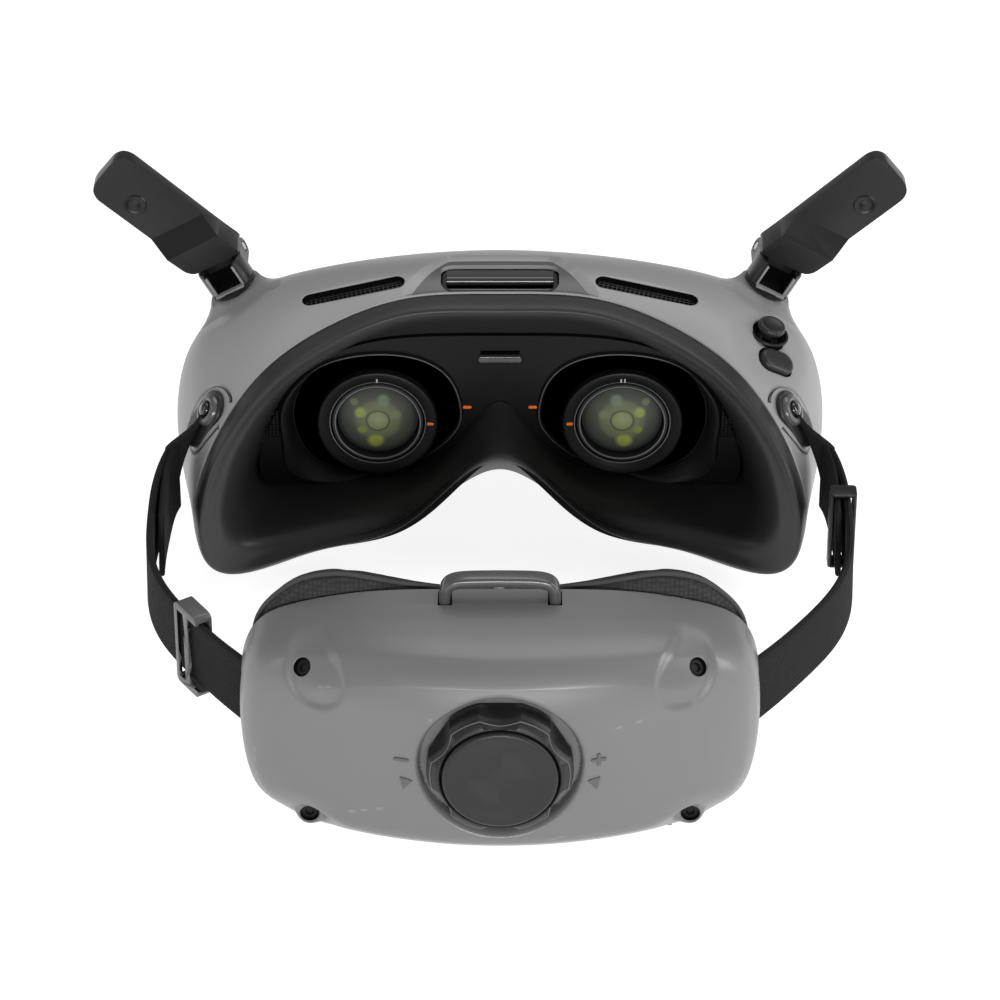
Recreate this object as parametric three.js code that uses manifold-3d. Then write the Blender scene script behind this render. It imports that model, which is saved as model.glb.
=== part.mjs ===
// FPV goggles with a battery headband: a hollow housing with two focusing eyepieces, a moulded
// face pad, two folding antennas, and a strap that runs back to a battery pack with a size knob.
// Millimetres, +Z up, +X to the wearer's right, the wearer looks along +Y.
// While modelling, y = 0 is the plane of the lens fronts and z = 0 is the table.
import * as THREE from "three";
import { mergeVertices } from "three/addons/utils/BufferGeometryUtils.js";
import Module from "manifold-3d";

const wasm = await Module();
wasm.setup();

// ---- driving dimensions ----
const GAP = 0.3; // clearance between touching pieces
const HOUSING_WALL = 2.4;
const PAD_WALL = 2.4;
const PACK_WALL = 2.2;
const EYE_X = 32.5; // half of the 65 mm pupil distance
const EYE_Z = 32;
const BARREL_R = 14.2;
const BARREL_FLANGE_R = 16; // the face that the wearer sees round each lens
const BARREL_FLANGE_END = 2.5;
const BARREL_FRONT_Y = -0.5;
const BARREL_LENGTH = 28;
const LENS_RING_R = 12.2;
const LENS_R = 11;
const PLATE_Y = 4; // rear face of the eyepiece plate
const PLATE_THICK = 2;
const BOARD_Y = 39;
const STRAP_Z = 32.5;
const STRAP_WIDTH = 20;
const STRAP_THICK = 1.8;
const STUB_TILT = 29; // degrees from vertical, outwards
const STUB_R = 6.5;
const STUB_BASE = [70.7, 25, 59.6];
const PIN_ABOVE_BASE = 6.3;
const PIN_FORWARD = 6.8; // the fold axis runs along the front of the stub
const PIN_R = 1.2;
const KNOB_Z = 36;
const PACK_FRONT_Y = -121; // edge of the pack's shell, towards the head
const PACK_REAR_Y = -156;
const CELL = [74, 11, 17]; // flat pouch cells, about 9 Wh each

const v3 = (x, y, z) => new THREE.Vector3(x, y, z);
const deg = THREE.MathUtils.degToRad;
const mix = THREE.MathUtils.lerp;
const smooth = THREE.MathUtils.smoothstep;

// ---- finishes ----
const finish = (colour, roughness, metalness = 0) =>
  new THREE.MeshStandardMaterial({ color: colour, roughness, metalness });
const finishes = {
  greyShell: finish("#7b7c7e", 0.5),
  darkPlastic: finish("#232324", 0.45),
  blackMatte: finish("#161617", 0.7),
  glossBlack: finish("#0b0b0c", 0.12),
  softRubber: finish("#303031", 0.75),
  webbing: finish("#252526", 0.9),
  cushionCloth: finish("#2e2e2f", 0.9),
  glass: finish("#59623a", 0.05),
  steel: finish("#8d8f92", 0.3, 1),
  buckleGrey: finish("#77787a", 0.4),
  boardGreen: finish("#1d4a30", 0.6),
  cellWrap: finish("#2d4f7c", 0.4),
  aluminium: finish("#a5a7aa", 0.35, 1),
};

const root = new THREE.Group();
const add = (name, geometry, material) => {
  const mesh = new THREE.Mesh(geometry, material);
  mesh.name = name;
  root.add(mesh);
  return mesh;
};

// ---- solids from geometries and back ----
function solidOf(geometry) {
  const bare = geometry.index ? geometry.toNonIndexed() : geometry.clone();
  bare.deleteAttribute("normal");
  bare.deleteAttribute("uv");
  const merged = mergeVertices(bare, 1e-3);
  return new wasm.Manifold(
    new wasm.Mesh({
      numProp: 3,
      vertProperties: merged.attributes.position.array,
      triVerts: new Uint32Array(merged.index.array),
    }),
  );
}

function geometryOf(solid) {
  const mesh = solid.getMesh();
  return new THREE.BufferGeometry()
    .setAttribute("position", new THREE.BufferAttribute(mesh.vertProperties, 3))
    .setIndex(new THREE.BufferAttribute(mesh.triVerts, 1));
}

const cut = (body, ...tools) =>
  geometryOf(tools.reduce((left, tool) => left.subtract(solidOf(tool)), solidOf(body)));
const common = (a, b) => geometryOf(solidOf(a).intersect(solidOf(b)));
const join = (body, ...others) =>
  geometryOf(others.reduce((whole, other) => whole.add(solidOf(other)), solidOf(body)));
// Drops facets that change the surface by less than the tolerance.
const lightened = (body, tolerance) => geometryOf(solidOf(body).simplify(tolerance));
// The biggest piece that is left of a body once another has been taken away from it.
function clearOf(body, other, offsets) {
  const left = offsets.reduce((rest, offset) => rest.subtract(solidOf(other).translate(offset)), solidOf(body));
  return geometryOf(left.decompose().sort((a, b) => b.volume() - a.volume())[0]);
}

function mirrored(geometry) {
  const copy = geometry.index ? geometry.toNonIndexed() : geometry.clone();
  const position = copy.attributes.position;
  for (let i = 0; i < position.count; i += 3) {
    const [a, b, c] = [0, 1, 2].map((k) => v3().fromBufferAttribute(position, i + k));
    [a, c, b].forEach((p, k) => position.setXYZ(i + k, -p.x, p.y, p.z));
  }
  copy.deleteAttribute("normal");
  copy.deleteAttribute("uv");
  return copy;
}

// A solid through rings of points. A closed loft joins its last ring to its first; an open one is capped.
function loft(rings, closed = false) {
  const count = rings[0].length;
  const points = rings.flat();
  const faces = [];
  const last = closed ? rings.length : rings.length - 1;
  for (let i = 0; i < last; i++) {
    for (let j = 0; j < count; j++) {
      const [a, b] = [i * count + j, i * count + ((j + 1) % count)];
      const next = ((i + 1) % rings.length) * count;
      const [c, d] = [next + j, next + ((j + 1) % count)];
      faces.push(a, b, d, a, d, c);
    }
  }
  if (!closed) {
    for (const [ring, flip] of [[0, true], [rings.length - 1, false]]) {
      const centre = rings[ring].reduce((sum, p) => sum.add(p), v3(0, 0, 0)).divideScalar(count);
      points.push(centre);
      for (let j = 0; j < count; j++) {
        const [a, b] = [ring * count + j, ring * count + ((j + 1) % count)];
        faces.push(...(flip ? [points.length - 1, b, a] : [points.length - 1, a, b]));
      }
    }
  }
  let volume = 0;
  for (let i = 0; i < faces.length; i += 3) {
    const [a, b, c] = [points[faces[i]], points[faces[i + 1]], points[faces[i + 2]]];
    volume += a.dot(v3().crossVectors(b, c));
  }
  if (volume < 0) faces.reverse();
  return new THREE.BufferGeometry().setFromPoints(points).setIndex(faces);
}

// ---- smooth surfaces through sections ----
const curveAt = (points, closed, t) =>
  new THREE.CatmullRomCurve3(points, closed, "catmullrom", 0.5).getPoint(t);

// Right-hand half outlines run from the top centre to the bottom centre; this adds the left half.
const wholeLoop = (half) => [
  ...half,
  ...half.slice(1, -1).reverse().map((p) => v3(-p.x, p.y, p.z)),
];

// A grid of points: `around` columns along closed sections, `across` steps from the first section to the last.
function surfaceGrid(sections, around, across) {
  const loops = sections.map(wholeLoop);
  return Array.from({ length: around }, (_, i) => {
    const column = loops.map((loop) => curveAt(loop, true, i / around));
    return Array.from({ length: across + 1 }, (_, j) => curveAt(column, false, j / across));
  });
}

function gridNormals(grid) {
  const rows = grid.length;
  const last = grid[0].length - 1;
  return grid.map((column, i) =>
    column.map((_, j) => {
      const along = v3().subVectors(grid[(i + 1) % rows][j], grid[(i + rows - 1) % rows][j]);
      const across = v3().subVectors(column[Math.min(j + 1, last)], column[Math.max(j - 1, 0)]);
      return v3().crossVectors(along, across).normalize();
    }),
  );
}

// A skin on one side of a grid that closes round on itself; a negative wall goes against the normals.
function skin(grid, wall) {
  const normals = gridNormals(grid);
  const rings = grid.map((column, i) => {
    const inner = column.map((p, j) => p.clone().addScaledVector(normals[i][j], wall));
    return [...column, ...inner.reverse()];
  });
  return loft(rings, true);
}

// ---- simple shapes ----
function shapeOf(points) {
  return new THREE.Shape(points.map(([x, y]) => new THREE.Vector2(x, y)));
}

function roundedRect(width, height, radius) {
  const [w, h, r] = [width / 2, height / 2, Math.min(radius, width / 2 - 0.01, height / 2 - 0.01)];
  const shape = new THREE.Shape();
  shape.moveTo(-w + r, -h).lineTo(w - r, -h).absarc(w - r, -h + r, r, -Math.PI / 2, 0);
  shape.lineTo(w, h - r).absarc(w - r, h - r, r, 0, Math.PI / 2);
  shape.lineTo(-w + r, h).absarc(-w + r, h - r, r, Math.PI / 2, Math.PI);
  shape.lineTo(-w, -h + r).absarc(-w + r, -h + r, r, Math.PI, Math.PI * 1.5);
  return shape;
}

const extruded = (shape, depth, curveSegments = 4) =>
  new THREE.ExtrudeGeometry(shape, { depth, bevelEnabled: false, curveSegments });

// An outline drawn in x and z, with its thickness from y0 towards +Y.
const plateXZ = (shape, y0, depth, curveSegments) =>
  extruded(shape, depth, curveSegments).rotateX(Math.PI / 2).translate(0, y0 + depth, 0);

const box = (x, y, z, width, length, height) =>
  new THREE.BoxGeometry(width, length, height).translate(x, y, z);

// A turned piece about the Y axis; the profile lists [radius, y].
const turnedY = (profile, segments = 24) =>
  new THREE.LatheGeometry(profile.map(([r, y]) => new THREE.Vector2(r, y)), segments);

const tube = (outer, inner, y0, y1, segments) =>
  turnedY([[inner, y0], [outer, y0], [outer, y1], [inner, y1], [inner, y0]], segments);
const disc = (radius, y0, y1, segments) => turnedY([[0, y0], [radius, y0], [radius, y1], [0, y1]], segments);
const rod = (radius, length, axis, segments = 16) =>
  disc(radius, -length / 2, length / 2, segments).applyQuaternion(
    new THREE.Quaternion().setFromUnitVectors(v3(0, 1, 0), v3(...axis).normalize()),
  );

// A strip of rectangular section, swept in plan along a curve, its width upright.
function upright(path, steps, width, thick, z) {
  const curve = new THREE.CatmullRomCurve3(path.map(([x, y]) => v3(x, y, z)));
  const rings = Array.from({ length: steps + 1 }, (_, i) => {
    const [p, t] = [curve.getPoint(i / steps), curve.getTangent(i / steps)];
    const side = v3(t.y, -t.x, 0).normalize().multiplyScalar(thick / 2);
    const up = v3(0, 0, width / 2);
    return [[1, 1], [1, -1], [-1, -1], [-1, 1]].map(([s, u]) =>
      p.clone().addScaledVector(side, s).addScaledVector(up, u),
    );
  });
  return loft(rings);
}

// ---- the housing's form ----
// Depth of the seam between housing and face pad: it wraps back round the temples, and the cheeks
// and nose bridge sit further back than the brow.
function seamDepth(x, lower) {
  const wrap = 37 * (Math.abs(x) / 80) ** 2.6;
  const cheek = 11 * (1 - (x / 80) ** 4);
  return 1 - wrap - (lower ? cheek : 0);
}

// Half outlines, [x, z] from the brow's centre round the temple and cheek to the nose bridge.
const seamOutline = [
  [0, 72], [23.5, 71.7], [44, 67.3], [61, 60], [72.2, 48.6], [77.7, 37.8], [79.6, 26.6],
  [77, 12], [66, 3.2], [47, 4.6], [29, 8.4], [14.5, 16], [0, 24],
];
const waistOutline = [
  [0, 69.5], [24.5, 69.3], [46, 68.5], [65, 65.3], [79.5, 55.5], [85, 40], [85.5, 25],
  [81, 9.5], [67, 0.5], [47, 1.4], [28, 5.4], [13.5, 12.4], [0, 19],
];
const shoulderOutline = [
  [0, 63], [24, 62.8], [45, 61.5], [62, 58], [74.5, 49], [80, 37], [80, 24],
  [75.5, 12], [62, 4], [44, 3], [27, 5.8], [13, 11.8], [0, 17.6],
];
const shelfOutline = [
  [0, 58], [22, 57.7], [40, 56], [51, 52], [56, 44.5], [58, 36], [57.5, 26],
  [54, 16], [46, 9], [35, 6.6], [23, 7.6], [11.5, 12], [0, 16.8],
];
const frontOutline = [
  [0, 52], [20, 51.8], [36, 50], [45, 46.5], [49, 41], [50.5, 34], [50, 26],
  [47, 18], [40.5, 12.5], [31, 9.8], [20.5, 10.8], [10.5, 14.2], [0, 18],
];
const LOWER_FROM = 7; // stations from here down belong to the cheeks and nose

const waistDepth = (x) => 27 - 25 * (x / 85) ** 2;
const shoulderDepth = (x) => 37 - 20 * (x / 80) ** 2;
const shelfDepth = (x) => 43 - 23 * smooth(Math.abs(x), 32, 57);
const frontDepth = (x) => 49 - 7 * (x / 50) ** 2;

const seam = seamOutline.map(([x, z], i) => v3(x, seamDepth(x, i >= LOWER_FROM), z));
const waist = waistOutline.map(([x, z]) => v3(x, waistDepth(x), z));
const crest = seam.map((p, i) => {
  const middle = p.clone().lerp(waist[i], 0.42);
  const rise = 3.2 * smooth(p.z, 30, 66);
  return v3(middle.x, middle.y, middle.z + rise);
});
const shoulder = shoulderOutline.map(([x, z]) => v3(x, shoulderDepth(x), z));
const shelf = shelfOutline.map(([x, z]) => v3(x, shelfDepth(x), z));
const front = frontOutline.map(([x, z]) => v3(x, frontDepth(x), z));
const housingSections = [seam, crest, waist, shoulder, shelf, front];

const AROUND = 44;
const ACROSS = 10;
const housingGrid = surfaceGrid(housingSections, AROUND, ACROSS);

// The point of the housing's outer surface nearest to a target, with its outward normal.
const fineGrid = surfaceGrid(housingSections, 176, 40);
const fineNormals = gridNormals(fineGrid);
function onHousing(target) {
  let best = { distance: Infinity };
  fineGrid.forEach((column, i) =>
    column.forEach((p, j) => {
      const distance = p.distanceTo(target);
      if (distance < best.distance) best = { distance, point: p, normal: fineNormals[i][j] };
    }),
  );
  return { point: best.point.clone(), normal: best.normal.clone() };
}

const spot = (point, normal) => ({ point, normal: normal.normalize() });

// Places a piece drawn along +Z so that its +Z follows the housing's outward normal; `along` sets its +X.
function onNormal(geometry, spot, along) {
  const z = spot.normal;
  const x = along.clone().addScaledVector(z, -along.dot(z)).normalize();
  const y = v3().crossVectors(z, x);
  const basis = new THREE.Matrix4().makeBasis(x, y, z).setPosition(spot.point);
  return geometry.clone().applyMatrix4(basis);
}

// ---- antennas, drawn for the wearer's right ----
const stubAxis = v3(Math.sin(deg(STUB_TILT)), 0, Math.cos(deg(STUB_TILT)));
const pinAxis = v3(Math.cos(deg(STUB_TILT)), 0, -Math.sin(deg(STUB_TILT)));
const stubFrame = new THREE.Matrix4().makeBasis(pinAxis, v3(0, 1, 0), stubAxis).setPosition(...STUB_BASE);

const atPin = (geometry) => geometry.translate(0, PIN_FORWARD, PIN_ABOVE_BASE).applyMatrix4(stubFrame);

// A round post whose top carries two ears, reaching forward to the pin.
function antennaStub() {
  const post = rod(STUB_R, 8.4, [0, 0, 1], 20).translate(0, 0, 4.4);
  const ears = [1, -1].flatMap((side) => [
    rod(2.5, 1.9, [1, 0, 0], 14).translate(side * 5.3, PIN_FORWARD, PIN_ABOVE_BASE),
    box(side * 5.3, PIN_FORWARD / 2, PIN_ABOVE_BASE, 1.9, PIN_FORWARD, 5),
  ]);
  const slot = box(0, 1, 1.8 + 6, 8.6, 22, 12);
  const pinHole = rod(PIN_R + GAP, 20, [1, 0, 0]).translate(0, PIN_FORWARD, PIN_ABOVE_BASE);
  return cut(join(post, ...ears), slot, pinHole).applyMatrix4(stubFrame);
}

const antennaPin = () => atPin(rod(PIN_R, 12.4, [1, 0, 0], 12));

// The blade leans further out than the stub. Coordinates are across and above the pin.
const bladeOutline = [
  [-7.6, 3.2], [6.6, 3.2], [8.4, 4.8], [11.2, 11.8], [18.9, 33.4], [18.6, 36], [16.6, 37.9],
  [8.8, 41.1], [6.4, 40.8], [4.7, 38.9], [-5.4, 9],
];
const BLOCK_REAR = -9.4; // from the pin, towards the wearer
const BLADE_REAR = -4.8;
const BLADE_FRONT = -0.5;
const COVER_THICK = 0.9;

function antennaBlade() {
  const block = plateXZ(shapeOf(bladeOutline), BLOCK_REAR, BLADE_FRONT - BLOCK_REAR);
  const behind = BLOCK_REAR - 1;
  const step = [[60, behind], [10.5, behind], [10.5, BLOCK_REAR], [16, BLADE_REAR], [60, BLADE_REAR]];
  const overBlade = loft([-30, 30].map((x) => step.map(([z, y]) => v3(x, y, z))));
  const coverBed = plateXZ(shapeOf(coverOutline(0.09)), BLADE_FRONT - COVER_THICK - GAP, 4);
  const tongue = join(box(0, -3.4, 1.9, 8, 6.8, 3.8), rod(2.5, 8, [1, 0, 0], 14));
  const bore = rod(PIN_R + GAP, 20, [1, 0, 0], 14);
  const dimple = rod(2.8, 1.6, [0, 1, 0], 16).translate(10.9, BLADE_REAR, 27);
  return atPin(cut(join(cut(block, overBlade, coverBed), tongue), bore, dimple));
}

// The thin lid set into the blade's front face.
const coverOutline = (inset) => bladeOutline.map(([x, z]) => [mix(x, 6, inset), mix(z, 22, inset)]);
const antennaCover = () =>
  atPin(plateXZ(shapeOf(coverOutline(0.12)), BLADE_FRONT - COVER_THICK, COVER_THICK));

// The shoulder that carries the stub and blends into the housing.
function antennaHorn() {
  const ring = (above, radius) =>
    Array.from({ length: 16 }, (_, i) => {
      const a = (i / 16) * 2 * Math.PI;
      return v3(radius * Math.cos(a), radius * Math.sin(a) + STUB_R - radius, above).applyMatrix4(stubFrame);
    });
  return loft([ring(0, 6.8), ring(-3, 7.6), ring(-8, 9.4), ring(-11, 9.6)]);
}

// ---- housing and what is set into it ----
const ventEnds = [v3(25.2, 5.3, 73.6), v3(52, 1.5, 69.2)];
const ventMiddle = onHousing(ventEnds[0].clone().lerp(ventEnds[1], 0.5));
const ventAlong = v3().subVectors(ventEnds[1], ventEnds[0]);
const VENT_LENGTH = 27;
const VENT_WIDTH = 4.2;
const BAR_SLOT_Y = 9;
const BAR_SLOT_WIDTH = 30;
const BAR_SLOT_LENGTH = 11.5;
const joystickSpot = spot(v3(70.5, -2.2, 62.1), v3(0.26, -0.12, 0.96));
const backSpot = spot(v3(72.5, -9.7, 57.9), v3(0.577, -0.352, 0.737));
const JOYSTICK_R = 3.7;
const BACK_BUTTON = [10, 6.4];
const acrossHead = v3(1, 0, 0); // the controls are drawn with their width across the head

const ventSlot = (grow, depth) => extruded(roundedRect(VENT_LENGTH + grow, VENT_WIDTH + grow, 9), depth, 6);

function mainHousing() {
  const shell = skin(housingGrid, -HOUSING_WALL);
  const horns = [antennaHorn(), mirrored(antennaHorn())];
  const vent = onNormal(ventSlot(0, 12).translate(0, 0, -6), ventMiddle, ventAlong);
  const joystickHole = onNormal(rod(JOYSTICK_R + 1, 14, [0, 0, 1], 24), joystickSpot, acrossHead);
  const backHole = onNormal(
    extruded(roundedRect(BACK_BUTTON[0] + 0.8, BACK_BUTTON[1] + 0.8, 3.5), 12, 5).translate(0, 0, -6),
    backSpot, acrossHead,
  );
  const barSlot = box(0, BAR_SLOT_Y, 74, BAR_SLOT_WIDTH, BAR_SLOT_LENGTH, 16);
  const stemSlot = box(EYE_X, 13, 9, 14, 5, 14);
  const wheelRecess = extruded(roundedRect(20, 12, 5.9), 12).translate(EYE_X, 13, -7.6);
  const throughBoth = [vent, anchorPocket(), stemSlot, wheelRecess];
  const holes = [...throughBoth, ...throughBoth.map(mirrored), joystickHole, backHole, barSlot];
  return lightened(cut(join(shell, ...horns), ...holes), 0.06);
}

function ventMesh() {
  const plate = ventSlot(2.4, 0.9).translate(0, 0, -HOUSING_WALL - 2.4);
  return onNormal(plate, ventMiddle, ventAlong);
}

// Bar in the brow slot: an optional top strap loops round it.
function topStrapBar() {
  const [width, length] = [BAR_SLOT_WIDTH - 0.8, BAR_SLOT_LENGTH - 0.7];
  const block = box(0, BAR_SLOT_Y, 68.2, width, length, 9);
  const tray = cut(block, box(0, BAR_SLOT_Y, 70.5, width - 3.2, length - 2.4, 8));
  const bar = rod(1.5, width - 1.7, [1, 0, 0]).translate(0, BAR_SLOT_Y, 71.6);
  return join(tray, bar);
}

// ---- front cover ----
function frontCover() {
  const rim = front.map((p) => v3(p.x * 0.985, p.y + GAP + 0.3, mix(p.z, 32, 0.015)));
  const swell = [[0.97, 3.4], [0.86, 6.6], [0.6, 8.8], [0.25, 9.8], [0.02, 10]];
  const bridge = v3(0, 0, 33);
  const sections = [rim, ...swell.map(([share, rise]) =>
    rim.map((p) => v3(p.x * share, p.y * share + 49 * (1 - share) + rise, mix(bridge.z, p.z, share))),
  )];
  const rings = sections.map((half) => {
    const loop = wholeLoop(half);
    return Array.from({ length: 36 }, (_, i) => curveAt(loop, true, i / 36));
  });
  const inner = rings.map((ring, i) => ring.map((p) => v3(p.x * 0.95, p.y - (i ? 2 : 0), mix(p.z, 33, 0.05))));
  return loft([...rings.slice().reverse(), ...inner]);
}

// ---- face pad ----
const rim = [
  [0, -6, 71.6], [23.3, -7, 71.2], [43, -13.5, 66.6], [58.8, -24.5, 60.6], [70.2, -35, 50], [75.6, -41, 39.3],
  [77.6, -43, 28.2], [76, -40, 15], [67, -32.5, 6.8], [48, -26.5, 9.5], [28.2, -23, 13], [12.5, -19.5, 25.5],
  [0, -18, 33],
].map((p) => v3(...p));
const ridge = [
  [0, -4, 66.6], [23, -5, 66.2], [41, -10, 61.4], [55.5, -18.5, 55], [65.5, -27.5, 45], [69.5, -32, 36],
  [71, -33.5, 27], [69, -30, 17.5], [61.5, -25, 13.8], [46, -19, 14.5], [27.5, -13, 16.5], [12.6, -6, 25.5],
  [0, 0, 35.5],
].map((p) => v3(...p));
const plateEdge = [
  [0, 57.3], [22.4, 56.9], [41, 53], [53, 43.6], [60, 33], [63.6, 23], [65, 15.5],
  [63, 10.6], [55, 10.6], [43, 12.6], [28.4, 13.9], [13.2, 21.5], [0, 36.9],
];
const innerEdge = plateEdge.map(([x, z]) => v3(x, PLATE_Y + 1, z));

// At the seam the pad's edge lies parallel to the housing's edge, so that the two meet squarely.
function facePad() {
  const outer = seam.map((p, i) => p.clone().addScaledVector(v3().subVectors(rim[i], p).normalize(), 0.5));
  const roll = rim.map((p, i) => p.clone().lerp(ridge[i], 0.45).add(v3(0, -1.2, 0)));
  const wallFoot = ridge.map((p, i) => p.clone().lerp(innerEdge[i], 0.55).add(v3(0, 0.5, 0)));
  const grid = surfaceGrid([outer, rim, roll, ridge, wallFoot, innerEdge], AROUND, 8);
  const normals = gridNormals(grid);
  const housingNormals = gridNormals(housingGrid);
  const rings = grid.map((column, i) => {
    const inner = column.map((p, j) => {
      const inward = j === 0 ? housingNormals[i][0].clone().negate() : normals[i][j];
      return p.clone().addScaledVector(inward, PAD_WALL);
    });
    return [...column, ...inner.reverse()];
  });
  return loft(rings, true);
}

// ---- eyepiece plate ----
const eyeOpening = [
  [11.2, 35], [13.6, 43], [20, 48.8], [30, 51], [41, 49.8], [50, 45], [54.4, 36], [54, 27],
  [49.5, 19], [41, 15.4], [31, 15.6], [22.4, 19], [16.2, 23.6], [12, 29],
];
const loopXZ = (points, count) =>
  Array.from({ length: count }, (_, i) => {
    const p = curveAt(points.map(([x, z]) => v3(x, 0, z)), true, i / count);
    return new THREE.Vector2(p.x, p.z);
  });

function eyepiecePlate() {
  const edge = wholeLoop(plateEdge.map(([x, z]) => v3(mix(x, 0, 0.012), 0, mix(z, 33, 0.03))));
  const outline = Array.from({ length: 48 }, (_, i) => curveAt(edge, true, i / 48));
  const plate = plateXZ(new THREE.Shape(outline.map((p) => new THREE.Vector2(p.x, p.z))), PLATE_Y, PLATE_THICK);
  const opening = plateXZ(new THREE.Shape(loopXZ(eyeOpening, 28)), 0, 20);
  const pierced = cut(plate, opening, mirrored(opening), box(0, PLATE_Y, 51.8, 10, 20, 1.8));
  const offCheek = clearOf(pierced, skin(housingGrid, -HOUSING_WALL), [[0, 0, 0], [0, 0, 0.4]]);
  return clearOf(offCheek, facePad(), [[0, 0, 0], [0, 0, -0.35], [0, 0, 0.35], [0, 0.35, 0]]);
}

function memoryCardSocket() {
  return cut(box(0, PLATE_Y + 8.4, 51.8, 13, 12, 3.2), box(0, PLATE_Y + 6, 51.8, 11, 12, 1.2));
}

// ---- eyepieces, drawn for the wearer's right ----
function eyepieceBarrel() {
  const bore = LENS_RING_R + GAP;
  const barrel = turnedY([
    [bore, BARREL_FRONT_Y], [BARREL_FLANGE_R, BARREL_FRONT_Y], [BARREL_FLANGE_R, BARREL_FLANGE_END],
    [BARREL_R, BARREL_FLANGE_END], [BARREL_R, BARREL_LENGTH], [bore, BARREL_LENGTH], [bore, BARREL_FRONT_Y],
  ], 32).translate(EYE_X, 0, EYE_Z);
  const keyway = box(EYE_X, 14, EYE_Z - BARREL_R, 2.4, 8, 8);
  return cut(barrel, keyway);
}

const lensCell = () =>
  tube(LENS_RING_R, LENS_R + 0.1, 0.4, 9, 24).translate(EYE_X, 0, EYE_Z);
const lens = () =>
  turnedY([[0, 2.6], [5, 2.9], [8, 3.5], [LENS_R - GAP, 4.6], [LENS_R - GAP, 7], [6, 8.2], [0, 8.8]], 28)
    .translate(EYE_X, 0, EYE_Z);
const displayPanel = () => box(EYE_X, BARREL_LENGTH - 3, EYE_Z, 15, 1.6, 12);
// The wheel under each eye slides the eyepiece sideways and turns to focus it.
const focusWheel = () => {
  const wheel = rod(5.2, 3.2, [0, 0, 1], 20).translate(0, 0, 2.4);
  const stem = rod(1.8, 12.5, [0, 0, 1], 12).translate(0, 0, 9.95);
  return join(wheel, stem).translate(EYE_X, 13, 0);
};

// ---- inside the housing ----
const mainBoard = () => box(0, BOARD_Y, 35, 62, 1.2, 24);

// A finned plate on the board, with the fan's frame at its end.
const FAN_AT = [14, BOARD_Y + 4.4, 36];
function heatSink() {
  const plate = box(-1.5, BOARD_Y + 2.2, 36, 51, 2.2, 18);
  const fins = Array.from({ length: 6 }, (_, i) => box(-25 + i * 4.4, BOARD_Y + 5.6, 36, 1.2, 4.8, 18));
  const frame = box(FAN_AT[0], FAN_AT[1], FAN_AT[2], 20, 6.4, 20);
  return cut(join(plate, ...fins, frame), disc(8.6, -1.8, 8, 24).translate(...FAN_AT));
}
function fanRotor() {
  const blades = Array.from({ length: 7 }, (_, i) =>
    box(4.8, 0, 0, 4.4, 3, 0.8).rotateX(0.5).rotateY((i / 7) * 2 * Math.PI),
  );
  return join(disc(3.2, -1.8, 1.8, 16), ...blades).translate(FAN_AT[0], FAN_AT[1] + 0.6, FAN_AT[2]);
}

// ---- controls on the wearer's right ----
const joystickRocker = () =>
  onNormal(
    tube(JOYSTICK_R - 0.2, 2.5, -0.5, 0.5, 20).rotateX(Math.PI / 2).translate(0, 0, -3.4),
    joystickSpot, acrossHead,
  );
const joystickStem = () =>
  onNormal(
    join(rod(1.3, 4.5, [0, 0, 1], 12).translate(0, 0, -1.65), rod(2.1, 1, [0, 0, 1], 16).translate(0, 0, -3.4)),
    joystickSpot, acrossHead,
  );
function joystickCap() {
  const profile = [[0, 1.2], [2, 1.2], [3.2, 1.6], [3.6, 2.6], [3.1, 3.5], [2, 3.3], [0, 3.1]];
  return onNormal(turnedY(profile, 24).rotateX(Math.PI / 2), joystickSpot, acrossHead);
}
const backButton = () =>
  onNormal(extruded(roundedRect(...BACK_BUTTON, 3.1), 3.6, 5).translate(0, 0, -3.1), backSpot, acrossHead);

// ---- strap anchors and straps ----
const anchorSpot = spot(v3(76.94, -20.3, 46.83), v3(0.809, -0.316, 0.496));
const anchorAlong = v3(0, -1, 0);
const onAnchor = (geometry) => onNormal(geometry, anchorSpot, anchorAlong);
const ANCHOR_WIDTH = 10.5;
const ANCHOR_HEIGHT = 17;
const ANCHOR_THICK = 2.6;
const ANCHOR_SINK = 1.1; // how deep the anchor sits in the housing's side
const anchorPinOffset = [0, -3];

const anchorPocket = () =>
  onAnchor(
    extruded(roundedRect(ANCHOR_WIDTH + 0.8, ANCHOR_HEIGHT + 0.8, 5.2), 8).translate(0, 0, -ANCHOR_SINK - GAP),
  );
function strapAnchor() {
  const plate = extruded(roundedRect(ANCHOR_WIDTH, ANCHOR_HEIGHT, 4.8), ANCHOR_THICK).translate(0, 0, -ANCHOR_SINK);
  const eye = rod(2.2, 12, [0, 0, 1], 14).translate(...anchorPinOffset, 0);
  return onAnchor(cut(plate, eye));
}
const strapPin = () => onAnchor(rod(1.9, ANCHOR_THICK + 1, [0, 0, 1], 14).translate(...anchorPinOffset, 0.7));

// The strap is in two lengths that run side by side at the temples, so that the pack can move.
const strapFront = [[84.2, -25.5], [85.4, -31], [86.1, -40], [86.3, -50], [86.2, -57]];
const strapRear = [
  [88.8, -50], [88.8, -60], [88.2, -70], [86.6, -79], [83.4, -88], [78.4, -97], [72.3, -106], [66.8, -113.4],
  [61.9, -119.5], [57.4, -126],
];
const strapPiece = (path, steps) => upright(path, steps, STRAP_WIDTH, STRAP_THICK, STRAP_Z);

// A loop that keeps both lengths of strap together.
function strapKeeper() {
  const around = box(87.6, -49, STRAP_Z, 8, 5, STRAP_WIDTH + 3);
  return cut(around, box(87.6, -49, STRAP_Z, 5.4, 10, STRAP_WIDTH + 0.8));
}

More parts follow.
